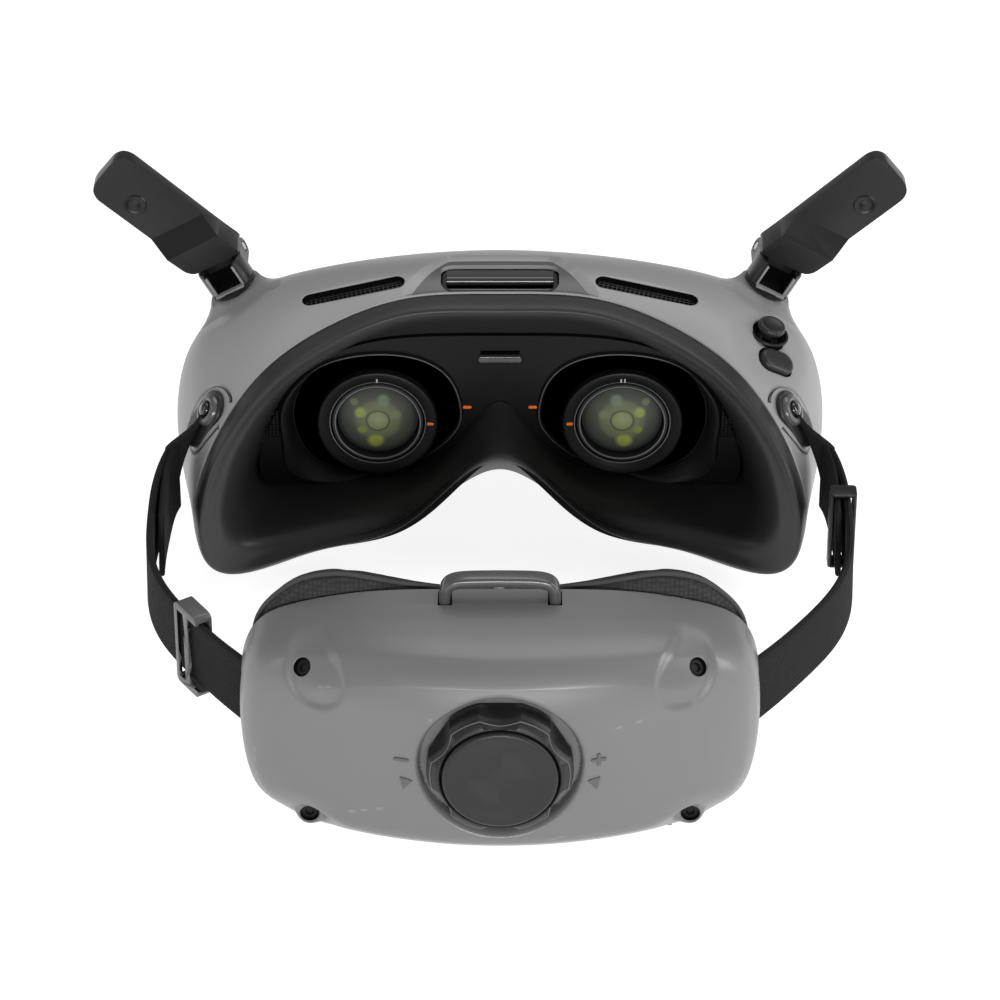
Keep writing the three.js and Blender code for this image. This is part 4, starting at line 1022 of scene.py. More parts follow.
def plate_mark(at, size, thick=0.25):
    """A small printed mark: a thin raised pill on the plate's rear face."""
    return moved(rounded_prism(rounded_rect(*size, 9) + at, -thick, 0.1, 0.08), XZ, (0, PLATE_Y, 0))


def make_eyepiece_plate():
    opening, plate, hole = plate_pieces()
    obj = new_object("eyepiece_panel", *plate)
    slot = box_body((-5.2, PLATE_Y - 2, CARD_SLOT_Z - 0.6), (5.2, PLATE_Y + 3, CARD_SLOT_Z + 0.9))
    carve(obj, merged(hole, mirrored(hole)), slot)
    shade(obj)
    finish_piece(obj, "black_matte", "headset", "eyepiece_plate", shaded=True)
    surround = eye_surround(opening)
    piece("eye_opening_rims", merged(surround, mirrored(surround)), "black_matte", "headset", angle=50)
    # Painted highlight: a thin grey line along the lip's upper and inner crest.
    crest = lip_highlight_line(opening)
    piece("eye_rim_highlights", merged(crest, mirrored(crest)), "dim_grey", "headset", slot="black_matte",
          angle=60)

    shelf_low = rounded_rect(11.4, 1.9, 0.6)
    shelf_body = moved(rounded_prism(shelf_low + [0, CARD_SLOT_Z - 1.7], -0.9, 0.3, 0.3), XZ, (0, PLATE_Y, 0))
    piece("card_slot_ledge", shelf_body, "loop_grey", "headset", slot="black_matte")

    mark = plate_mark([8.7, 34.8], (2.3, 0.85))
    piece("plate_marks", merged(mark, mirrored(mark)), "orange_mark", "headset", slot="black_matte")

    dots = [moved(turned([(0.22, -0.12), (0.34, 0.05)], steps=10), np.eye(3), (x, PLATE_Y, z))
            for x in 60.3 + 0.95 * np.arange(4) - 1.4 for z in 25.5 + 0.95 * np.arange(11)]
    grille = merged(*dots)
    piece("plate_grilles", merged(grille, mirrored(grille)), "black_and_painted_shade", "headset", slot="black_matte")


# ---- eyepieces ----
BARREL_BORE = LENS_RING_R + 0.3


def eyepiece_barrel(side):
    profile = [
        (BARREL_BORE, 2.2), (BARREL_BORE, 0.75), (BARREL_BORE + 0.25, 0.5), (14.2, 0.1), (15.1, -0.25),
        (15.6, -0.3),
        (15.9, -0.1), (BARREL_R, 0.3), (BARREL_R, 2.3), (15.7, 2.5), (14.2, 2.6), (14.2, 28),
        (BARREL_BORE, 28),
    ]
    body = turned(profile, XZ, (EYE_X, 0, EYE_Z), steps=96, closed=True)
    return on_side(body, side)


def make_eyepieces():
    for name, side in SIDES.items():
        body = f"{name}_eyepiece"
        cell = f"{name}_focus_cell"
        piece(f"{name}_barrel", eyepiece_barrel(side), "black_matte", body, f"{name}_eyepiece_barrel",
              angle=40)
        section = [(LENS_R + 0.1, 9), (LENS_R + 0.1, 0.9), (LENS_R + 0.3, 0.55), (11.55, 0.4), (12.0, 0.45),
                   (12.2, 0.75), (LENS_RING_R, 9)]
        ring = turned(section, XZ, (EYE_X, 0, EYE_Z), steps=96, closed=True)
        piece(f"{name}_lens_ring", on_side(ring, side), "dark_plastic", cell, f"{name}_lens_cell", angle=40)
        # Painted highlights: two thin mid-grey rings at the lens cell's edges stand in for light caught there.
        edge = [(11.15, 0.62), (11.3, 0.44), (11.45, 0.42), (11.45, 0.8)]
        line = turned(edge, XZ, (EYE_X, 0, EYE_Z), 96, True)
        outer_edge = [(12.55, 0.72), (12.7, 0.5), (12.85, 0.48), (12.85, 0.9)]
        outer_line = turned(outer_edge, XZ, (EYE_X, 0, EYE_Z), 96, True)
        piece(f"{name}_ring_highlight", on_side(line, side), "mid_grey", cell, slot="dark_plastic")
        piece(f"{name}_outer_ring_highlight", on_side(outer_line, side), "mid_grey", body, slot="black_matte")
        rim = LENS_R - 0.3
        glass = [(r, 1.5 + 1.6 * (r / rim) ** 2) for r in np.linspace(0, rim, 14)]
        glass += [(rim, 7)] + [(r, 8.8 - 1.8 * (r / rim) ** 2) for r in np.linspace(rim, 0, 10)]
        lens = turned(glass, XZ, (EYE_X, 0, EYE_Z), 72)
        piece(f"{name}_glass", on_side(lens, side), "lens_glass", cell, f"{name}_lens", angle=40)
        mark = moved(rounded_prism(rounded_rect(2.2, 0.85, 9), -0.2, 0.3, 0.08), XZ,
                     (EYE_X - 14.2, 0.05, EYE_Z))
        piece(f"{name}_barrel_mark", on_side(mark, side), "orange_mark", body, slot="black_matte")
        bars = [moved(rounded_prism(rounded_rect(0.35, 1.5, 9) + [x, 0], -0.1, 0.3, 0.05), XZ,
                      (EYE_X, 0.25, EYE_Z + 13.6)) for x in ((-0.5, 0.5) if side > 0 else (0,))]
        piece(f"{name}_top_mark", on_side(merged(*bars), side), "pale_mark", body, slot="black_matte")


def make_focus_wheels():
    for name, side in SIDES.items():
        around, teeth = 144, 36
        turn = np.arange(around) * 2 * math.pi / around
        radius = 5.2 - 0.28 * (0.5 + 0.5 * np.cos(teeth * turn))
        outline = np.column_stack([radius * np.cos(turn), radius * np.sin(turn)])
        wheel = loft([np.column_stack([outline * s, np.full(around, z)]) for s, z in
                      ((0.9, 0.8), (0.97, 0.95), (1, 1.3), (1, 3.5), (0.96, 3.9), (0.9, 4.0))])
        stem = turned([(1.8, 3.7), (1.8, 16.0), (1.5, 16.2)], np.eye(3), steps=32)
        whole = on_side(moved(merged(wheel, stem), np.eye(3), (EYE_X, 13, 0)), side)
        piece(f"{name}_focus_dial", whole, "dark_plastic", f"{name}_focus_wheel", f"{name}_focus_wheel",
              angle=40)


# ---- brow: strap bar and vent meshes ----
def make_strap_bar():
    tray = new_object("bar_tray", *prism(rounded_rect(30.2, 11.3, 3.3, 8) + [0, BAR_Y], 63.8, 71.4))
    carve(tray, prism(rounded_rect(28.2, 9.8, 2.7, 8) + [0, BAR_Y], 65.2, 80))
    bevel(tray, 0.3)
    finish_piece(tray, "dark_plastic", "headset", slot="dark_plastic")
    # Painted shade: the tray's floor and lower walls are painted near-black.
    painted(tray, "black_and_painted_shade", lambda centre, normal: centre[2] < 70.6)
    section = rounded_rect(5.2, 2.6, 1.2, 8)
    bar = loft([np.column_stack([np.full(len(section), x), BAR_Y + 2.4 + section[:, 0], 70.7 + section[:, 1]])
                for x in (-14, 14)])
    lower = rod_between((-14, BAR_Y - 3.1, 69.9), (14, BAR_Y - 3.1, 69.9), 0.9, 24)
    piece("top_bar", merged(bar, lower), "gloss_bar", "headset", "top_strap_bar", slot="dark_plastic")


def make_vent_meshes():
    sink = -HOUSING_WALL + 0.5
    cross = [[x, 0] for x in np.arange(-12.6, 12.7, 1.2)]
    thick = 0.36
    bars = [rounded_prism(rounded_rect(thick, VENT_WIDTH + 1.2, 0.1, 2) + at, sink - 0.45, sink, 0.1)
            for at in cross]
    bars += [rounded_prism(rounded_rect(VENT_LENGTH + 1, thick, 0.1, 2) + [0, y], sink - 0.5, sink - 0.05, 0.1)
             for y in (-1.5, -0.5, 0.5, 1.5)]
    # Painted shade: a near-black sheet under the grid stands in for the shade inside the vent.
    back = prism(rounded_rect(VENT_LENGTH + 2, VENT_WIDTH + 2, 3, 8), sink - 1.6, sink - 1.0)
    mesh = moved(merged(*bars), vent_axes, vent_at)
    backing = moved(back, vent_axes, vent_at)
    for name, side in SIDES.items():
        piece(f"{name}_vent_grid", on_side(mesh, side), "dark_plastic", "headset", f"{name}_vent_mesh",
              slot="black_matte")
        piece(f"{name}_vent_backing", on_side(backing, side), "black_and_painted_shade", "headset", slot="black_matte")


# ---- controls ----
def make_controls():
    wall = [(JOYSTICK_R + 0.9, -3), (JOYSTICK_R + 0.9, -0.55), (JOYSTICK_R + 0.6, -0.35),
            (JOYSTICK_R - 0.1, -0.6), (JOYSTICK_R - 0.4, -1.6), (JOYSTICK_R - 0.4, -3)]
    # Painted shade: the well's walls round the cap are near-black.
    well = turned(wall, joystick_axes, joystick_at, 64, True)
    piece("joystick_well", well, "black_and_painted_shade", "headset", slot="black_matte", angle=40)
    around, teeth = 120, 24
    turn = np.arange(around) * 2 * math.pi / around

    def ring(radius, height, notch):
        r = radius - notch * (0.5 + 0.5 * np.cos(teeth * turn))
        return np.column_stack([r * np.cos(turn), r * np.sin(turn), np.full(around, height)])

    layers = [(1.6, 0.6, 0), (2.9, 0.7, 0), (3.5, 1.05, 0), (3.7, 1.6, 0.08), (3.72, 2.1, 0.13),
              (3.5, 2.55, 0.1), (3.2, 2.8, 0), (2.8, 2.86, 0), (2.3, 2.7, 0), (1.5, 2.5, 0), (0.6, 2.44, 0)]
    collar = turned([(4.5, -0.7), (4.6, -0.1), (4.85, 0.05), (5.1, -0.05), (5.3, -0.5)], joystick_axes,
                    joystick_at, 64, True)
    piece("joystick_collar", collar, "black_matte", "headset", slot="black_matte", angle=40)
    cap = moved(loft([ring(*layer) for layer in layers]), joystick_axes, joystick_at)
    piece("joystick_thumb_cap", cap, "dark_plastic", "joystick_cap", "joystick_cap", angle=45)

    outline = rounded_rect(*BACK_BUTTON, 3.15, 12)
    steps = [(-0.1, -3.1), (0, -0.2), (-0.12, 0.15), (-0.45, 0.38), (-1.0, 0.5), (-2.0, 0.55), (-2.6, 0.56)]
    body = loft([np.column_stack([grown(outline, g), np.full(len(outline), z)]) for g, z in steps])
    piece("back_button_key", moved(body, back_axes, back_at), "dark_plastic", "back_button", "back_button",
          angle=45)
    # Painted shade: a near-black ring at the bottom of the gap round the back button.
    gap_ring = new_object("button_gap_shade", *moved(
        prism(rounded_rect(BACK_BUTTON[0] + 0.9, BACK_BUTTON[1] + 0.9, 3.2, 10), -2.4, -1.2), back_axes,
        back_at))
    carve(gap_ring, moved(prism(rounded_rect(BACK_BUTTON[0] + 0.3, BACK_BUTTON[1] + 0.3, 2.9, 10), -4, 2),
                            back_axes, back_at))
    finish_piece(gap_ring, "black_and_painted_shade", "headset", slot="black_matte")


# ---- antennas ----
BLADE_OUTLINE = np.array([
    [-7.6, 3.2], [6.6, 3.2], [8.4, 4.8], [11.2, 11.8], [18.9, 33.4], [18.6, 36], [16.6, 37.9],
    [8.8, 41.1], [6.4, 40.8], [4.7, 38.9], [-5.4, 9],
])
BLOCK_REAR, BLADE_REAR, BLADE_FRONT = -9.4, -4.8, -0.5
DIMPLE_AT = np.array([10.9, 27])


def at_pin(body, side):
    return on_side(moved(body, STUB_AXES, PIN_AT), side)


def antenna_blade(name, side):
    outline = rounded_corners(BLADE_OUTLINE, 1.6)
    obj = new_object("blade", *at_pin(moved(prism(outline, BLOCK_REAR, BLADE_FRONT), XZ), side))
    # The thick block narrows to the flat blade by a slope between these heights above the pin.
    block_top, slope_top = 10.5, 16
    profile = [[60, BLOCK_REAR - 2], [block_top, BLOCK_REAR - 2], [block_top, BLOCK_REAR],
               [slope_top, BLADE_REAR], [60, BLADE_REAR]]
    step = loft([[[x, y, z] for z, y in profile] for x in (-30, 30)])
    lid_bed = moved(prism(rounded_corners(lid_outline(0.09), 2), BLADE_FRONT - 1.2, 4), XZ)
    bore = rod_between((-12, 0, 0), (12, 0, 0), 1.5)
    for body in (step, lid_bed, bore):
        carve(obj, at_pin(body, side))
    bevel(obj, 0.8, 4, 24)
    tongue = new_object("tongue", *at_pin(box_body((-4, -6.8, 0), (4, 0, 3.8)), side))
    combined(tongue, at_pin(rod_between((-4, 0, 0), (4, 0, 0), 2.5, 32), side), "UNION")
    carve(tongue, at_pin(bore, side))
    bevel(tongue, 0.35, 2)
    finish_piece(obj, "antenna_black", f"{name}_antenna", f"{name}_antenna_blade", slot="dark_plastic")
    obj.name = f"{name}_blade"
    finish_piece(tongue, "antenna_black", f"{name}_antenna", slot="dark_plastic")
    tongue.name = f"{name}_blade_tongue"
    stud = [(0.01, -0.32), (0.8, -0.26), (1.3, -0.1), (1.7, -0.04), (2.1, -0.16), (2.5, -0.34), (2.8, -0.34),
            (3.1, 0.1)]
    ring = turned([(r, BLADE_REAR + y) for r, y in stud], XZ, (DIMPLE_AT[0], 0, DIMPLE_AT[1]), 48)
    piece(f"{name}_blade_stud", at_pin(ring, side), "antenna_black", f"{name}_antenna", slot="dark_plastic")


def lid_outline(inset):
    return mix(BLADE_OUTLINE, np.array([6, 22]), inset)


def antenna_lid(name, side):
    outline = rounded_corners(lid_outline(0.12), 2)
    lid = moved(rounded_prism(outline, BLADE_FRONT - 0.9, BLADE_FRONT, 0.25), XZ)
    piece(f"{name}_blade_lid", at_pin(lid, side), "black_matte", f"{name}_antenna", f"{name}_antenna_cover")


def antenna_stub(name, side):
    def placed(body):
        return on_side(moved(body, STUB_AXES, STUB_BASE), side)

    section = [(6.1, 0.2), (6.5, 0.5), (6.5, 1.2), (6.25, 1.35), (6.25, 1.6), (6.5, 1.75), (6.5, 8.2),
               (6.1, 8.6)]
    post = turned(section, np.eye(3), steps=72)
    obj = new_object("stub", *placed(post))
    for x in (5.3, -5.3):
        ear = box_body((x - 0.95, 0, PIN_ABOVE - 2.5), (x + 0.95, PIN_FORWARD, PIN_ABOVE + 2.5))
        combined(obj, placed(ear), "UNION")
        tip = rod_between((x - 0.95, PIN_FORWARD, PIN_ABOVE), (x + 0.95, PIN_FORWARD, PIN_ABOVE), 2.5, 32)
        combined(obj, placed(tip), "UNION")
    carve(obj, placed(box_body((-4.3, -10, 1.9), (4.3, 12, 14))),
          placed(rod_between((-10, PIN_FORWARD, PIN_ABOVE), (10, PIN_FORWARD, PIN_ABOVE), 1.5)))
    bevel(obj, 0.3, 2)
    finish_piece(obj, "antenna_black", "headset", f"{name}_antenna_stub", slot="black_matte")
    obj.name = f"{name}_stub"
    # Painted shade: a near-black plate across the slot behind the blade's tongue, so that the gap shows dark.
    stop = box_body((-4.3, 3.2, 1.9), (4.3, 4.0, 6.0))
    piece(f"{name}_stub_gap_shade", placed(stop), "black_and_painted_shade", "headset", slot="black_matte")
    # Painted highlight: thin mid-grey bars along the rear edges and bottom of the slot stand in for light
    # caught by those edges.
    bars = [box_body((x - 0.3, -5.1, 1.9), (x + 0.3, -4.2, 8.0)) for x in (-4.0, 4.0)]
    lower_highlight_bar = box_body((-4.2, -6.2, 1.7), (4.2, -4.6, 2.3))
    piece(f"{name}_stub_edge_highlights", placed(merged(*bars, lower_highlight_bar)), "mid_grey", "headset", slot="dark_plastic",
          edge=0.12)


def make_antennas():
    for name, side in SIDES.items():
        antenna_blade(name, side)
        antenna_lid(name, side)
        antenna_stub(name, side)


# ---- strap anchors and straps ----
def make_anchors():
    sink = -ANCHOR_SINK
    for name, side in SIDES.items():
        plate = rounded_prism(rounded_rect(ANCHOR_WIDTH, ANCHOR_HEIGHT, 6, 10), sink, sink + 1.5, 0.4)
        piece(f"{name}_anchor_plate", on_side(moved(plate, anchor_axes, anchor_at), side), "dark_plastic",
              "headset", f"{name}_strap_anchor")
        pin_at = anchor_at + anchor_axes @ [*ANCHOR_PIN, 0]
        section = [(2.2, -0.2), (2.2, 1.2), (2.5, 1.6), (3.1, 1.75), (3.8, 1.5), (4.2, 0.9), (4.3, -0.2)]
        collar = turned(section, anchor_axes, pin_at, 64, True)
        piece(f"{name}_anchor_collar", on_side(collar, side), "loop_grey", "headset", slot="dark_plastic",
              angle=50)
        pin = turned([(1.9, -1), (1.9, 1.7), (1.75, 2.1), (1.3, 2.4), (0.6, 2.55)], anchor_axes, pin_at, 48)
        piece(f"{name}_anchor_pin", on_side(pin, side), "gloss_black", "headset", f"{name}_strap_pin",
              angle=50)


STRAP_SHORT = [[84.2, -25.5], [85.4, -31], [86.1, -40], [86.3, -50], [86.2, -57]]
STRAP_LONG = [
    [85.9, -27], [87.2, -33], [88.2, -41], [88.8, -50], [88.8, -60], [88.2, -70], [86.6, -79], [83.4, -88],
    [78.4, -97], [72.3, -106], [66.8, -113.4], [61.9, -119.5], [57.4, -126],
]
EDGE_TURNS = np.radians([0, 45, 90])


def strap_body(path, steps, thick):
    """A flat webbing strip on edge, with rounded selvedges: its body, and its UV map in millimetres."""
    line = open_spline(np.array(path), steps)
    along = unit(np.gradient(line, axis=0))
    side = np.column_stack([along[:, 1], -along[:, 0]])
    run = np.concatenate([[0], np.cumsum(np.linalg.norm(np.diff(line, axis=0), axis=1))])
    half, r = STRAP_WIDTH / 2, thick / 2
    across = np.linspace(half - r, r - half, 13)
    section = [(r, u) for u in across]
    section += [(r * math.cos(a), r - half - r * math.sin(a)) for a in EDGE_TURNS[1:]]
    section += [(-r, u) for u in across[::-1]]
    section += [(-r * math.cos(a), half - r + r * math.sin(a)) for a in EDGE_TURNS[1:]]
    rings, uv = [], []
    for k in range(steps):
        wave = 0.35 * math.sin(run[k] / 17) * smooth(run[k], 10, 30)
        rings.append([[line[k, 0] + side[k, 0] * (s + wave * u / half),
                       line[k, 1] + side[k, 1] * (s + wave * u / half),
                       STRAP_Z + u] for s, u in section])
        uv.append([(run[k], u) for s, u in section])
    return loft(rings), np.array(uv).reshape(-1, 2)


def add_uv(obj, uv):
    layer = obj.data.uv_layers.new(name="strap")
    for corner in obj.data.loops:
        index = min(corner.vertex_index, len(uv) - 1)
        layer.data[corner.index].uv = uv[index]


def strap_tab():
    """The narrow end of the webbing, which fans out from the anchor's pin to the strap's full width."""
    start = anchor_at + anchor_axes @ [0, 1.6, 0.9]
    end = np.array([*STRAP_LONG[0], STRAP_Z]) + [0.15, -0.6, 0]
    lead, arrival = np.array([3.6, -6.8, -2.4]), np.array([2.8, -12.8, 0])
    rings, uv = [], []
    steps = 24
    for k in range(steps):
        t = k / (steps - 1)
        middle = hermite(t, start, lead, end, arrival)
        share = float(smooth(t, 0, 1))
        up = unit(mix(-anchor_axes[:, 1], np.array([0, 0, 1.0]), share))
        out = unit(mix(anchor_axes[:, 2], np.array([0.98, 0.2, 0]), share))
        half, r = mix(3.4, STRAP_WIDTH / 2, share), STRAP_THICK / 2
        section = [(-r, -half), (-r, half), (r, half), (r, -half)]
        rings.append([middle + s * out + u * up for s, u in section])
        uv.append([(12 * t, u) for s, u in section])
    return loft(rings), np.array(uv).reshape(-1, 2)


def make_straps():
    for name, side in SIDES.items():
        short, short_uv = strap_body(STRAP_SHORT, 60, 1.5)
        short_strap = new_object(f"{name}_strap_fold", *on_side(short, side))
        add_uv(short_strap, short_uv)
        finish_piece(short_strap, "webbing", "headset", f"{name}_strap_front", angle=60)
        tab, tab_uv = strap_tab()
        tab_strap = new_object(f"{name}_strap_tab", *on_side(tab, side))
        add_uv(tab_strap, tab_uv)
        bevel(tab_strap, 0.5, 2)
        finish_piece(tab_strap, "webbing", "headset", slot="webbing", angle=60)
        long, long_uv = strap_body(STRAP_LONG, 190, STRAP_THICK)
        strap = new_object(f"{name}_strap", *on_side(long, side))
        add_uv(strap, long_uv)
        strap.data.materials.append(looks["webbing"])
        shade(strap, 60)
        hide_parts(f"{name}_strap_rear")
        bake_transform(strap)


def make_keeper():
    middle = np.array([87.6, -49])
    block = new_object("strap_keeper_loop", *prism(rounded_rect(6.8, 5, 1.0, 6) + middle, 21.3, 43.7))
    carve(block, box_body((middle[0] - 2.6, middle[1] - 6, 22.1), (middle[0] + 2.6, middle[1] + 6, 42.9)))
    bevel(block, 0.4, 3, 25)
    finish_piece(block, "antenna_black", "headset", "strap_keeper", slot="dark_plastic")


def make_buckle():
    """Slider frame with a middle bar, round which the webbing of the left strap is doubled."""
    along = unit(np.array([6.1, -9, 0]))
    axes = np.column_stack([along, [-along[1], along[0], 0], [0, 0, 1]])
    middle = np.array([-75.35, -101.5, STRAP_Z])
    obj = new_object("strap_slider", *moved(moved(prism(rounded_rect(10.5, 24, 1.6, 6), -2.3, 2.3), XZ),
                                            axes, middle))
    way = box_body((-8, -1.5, -10.4), (8, 1.5, 10.4))
    windows = [box_body((-3.8, -6, -10), (-1.0, 0, 10)), box_body((1.0, -6, -10), (8, 0, 10))]
    carve(obj, *[moved(body, axes, middle) for body in (way, *windows)])
    bevel(obj, 0.35, 3, 25)
    finish_piece(obj, "buckle_grey", "buckle", "strap_buckle", slot="mid_grey")


# ---- battery pack ----
# Half outline of the pack's shell, [x, z] from the top centre round to the bottom centre.
pack_outline = np.array([
    [0, 63.9], [14.5, 63.8], [31, 62.9], [45, 60.2], [55.5, 56], [61, 48.5], [62.8, 38],
    [62.7, 25], [60.3, 12], [54.5, 4.4], [46, 0.8], [33, 0], [16, 0], [0, 0],
])
PACK_HALF_WIDTH = 62.8
PACK_MIDDLE_Z = 32
PACK_AROUND = 416
# Share of the outline above and below the knob's axis, and share of the way back to the crown.
PACK_RINGS = [(1, 1, 0), (1, 1, 0.35), (0.99, 0.95, 0.6), (0.955, 0.84, 0.82), (0.88, 0.74, 0.95),
              (0.78, 0.63, 1)]
KNOB_DISH = [(20.9, 0), (20.6, 0.01), (20.3, 0.03), (20.05, 0.07), (19.8, 0.13), (19.55, 0.22), (19.35, 0.34),
             (19.25, 0.5), (19.2, 0.75), (19.2, 1)]
KNOB_WELL_DEPTH = 5.2
UPPER_SCREW = (46.8, 55.4)
LOWER_SEAT = np.array([46, PACK_REAR_Y + 14.5, 11.6])
POCKET_R = 2.3
LOOP_HALF = 13.1


def pack_edge(x):
    return PACK_FRONT_Y + 2 * (x / 62) ** 2


def pack_crown(x, z):
    return PACK_REAR_Y + 19 * (x / 62) ** 2 + 3 * smooth(z, 50, 62) + 6 * smooth(-z, -16, -4)


def monotone_spline(control, steps):
    """A smooth curve through each control point that never swings past the next one."""
    gaps = np.diff(control, axis=0)
    before, after = gaps[:-1], gaps[1:]
    same_way = before * after > 0
    total = np.where(same_way, before + after, 1)
    slopes = np.where(same_way, 2 * before * after / total, 0)
    slopes = np.concatenate([gaps[:1], slopes, gaps[-1:]])
    rows = []
    for k in range(len(gaps)):
        for t in np.arange(steps) / steps:
            rows.append(hermite(t, control[k], slopes[k], control[k + 1], slopes[k + 1]))
    return np.array([*rows, control[-1]])


def pack_rows():
    sections = []
    for upper, lower, back in PACK_RINGS:
        share = np.where(pack_outline[:, 1] > KNOB_Z, upper, lower)
        x, z = pack_outline[:, 0] * upper, mix(KNOB_Z, pack_outline[:, 1], share)
        half = np.column_stack([x, mix(pack_edge(pack_outline[:, 0]), pack_crown(x, z), back), z])
        sections.append(closed_spline(whole_loop(half), PACK_AROUND))
    last = sections[-1]
    turn = np.arctan2(last[:, 0], last[:, 2] - KNOB_Z)
    mouth = KNOB_DISH[0][0]
    face = []
    for share in np.linspace(0, 1, 36)[1:]:
        x, z = mix(last[:, 0], mouth * np.sin(turn), share), mix(last[:, 2], KNOB_Z + mouth * np.cos(turn),
                                                                 share)
        face.append(np.column_stack([x, pack_crown(x, z), z]))
    dish = []
    for radius, share in KNOB_DISH[1:]:  # the first of them is the mouth
        x, z = radius * np.sin(turn), KNOB_Z + radius * np.cos(turn)
        y = mix(pack_crown(x, z), PACK_REAR_Y + KNOB_WELL_DEPTH, share)
        dish.append(np.column_stack([x, y, z]))
    # A row of the face beyond the rim's last ring gives its curve a direction there, and is then left off.
    steps = 20
    rim = monotone_spline(np.array([*sections, face[5]]), steps)[:-steps]
    return np.array([*rim, *face, *dish]), turn


def away_from(rows, centre):
    """Normals of a surface, pointing away from a centre."""
    normals = row_normals(rows)
    return normals if np.sum(normals * (rows - centre)) > 0 else -normals


def pressed(rows, normals):
    """Thumb-sized hollows round the upper screws, and seats in scooped corners under the lower ones."""
    rows = rows.copy()
    on_back = smooth(-rows[..., 1], 130, 138)
    for side in (1, -1):
        x, z = rows[..., 0] * side, rows[..., 2]
        hollow = 1 - smooth(np.hypot(x - 43.6, z - 54.2), 5.8, 7.6)
        scoop = 0.9 * (1 - smooth(np.hypot((x - 46) / 1.25, z - 13.5), 2, 8))
        rows -= normals * ((hollow + scoop) * on_back)[..., None]
        near = 1 - smooth(np.hypot(x - LOWER_SEAT[0], z - LOWER_SEAT[2]), 2.6, 4.8)
        rows[..., 1] = mix(rows[..., 1], LOWER_SEAT[1], near * on_back)
    return rows


def screw_frame(rows, normals, x, z):
    """The point of the shell's face at a screw, and axes that stand on it there."""
    reach = np.hypot(rows[..., 0] - x, rows[..., 2] - z) + 0.05 * (rows[..., 1] + 150)
    best = np.unravel_index(np.argmin(reach), reach.shape)
    return rows[best], tangent_axes(normals[best], [1, 0, 0])


def sign_marks():
    """Raised signs beside the knob: minus and plus, each over an arrowhead that shows which way to turn."""
    bodies = []
    for side in (1, -1):
        middle = np.array([side * 23.4, 37.2])
        outlines = [rounded_rect(3.6, 0.9, 0.4, 4) + middle]
        if side > 0:
            outlines.append(rounded_rect(0.9, 3.6, 0.4, 4) + middle)
        tip = np.array([[-1.6, 1.4], [1.6, 1.4], [0, -2.0]])
        slant = math.radians(14) * side
        spin = np.array([[math.cos(slant), -math.sin(slant)], [math.sin(slant), math.cos(slant)]])
        outlines.append(rounded_corners(tip, 0.3, 2)[::-1] @ spin.T + [side * 22.6, 30.4])
        bodies += [moved(rounded_prism(np.asarray(outline), -0.4, 0.9, 0.12), XZ) for outline in outlines]
    points, faces = merged(*bodies)
    points = np.array(points, float)
    points[:, 1] += pack_crown(points[:, 0], points[:, 2])
    return points, faces


def in_screw_pocket_shade(frames):
    """A test of faces: the walls of the screws' pockets, which get painted shade."""
    def chosen(centre, normal):
        flip = np.array([math.copysign(1, centre[0]), 1, 1])
        for at, axes in frames:
            local, facing = axes.T @ (centre * flip - at), axes.T @ (normal * flip)
            if abs(math.hypot(local[0], local[1]) - POCKET_R) < 0.05 and abs(facing[2]) < 0.3:
                return True
        return False
    return chosen


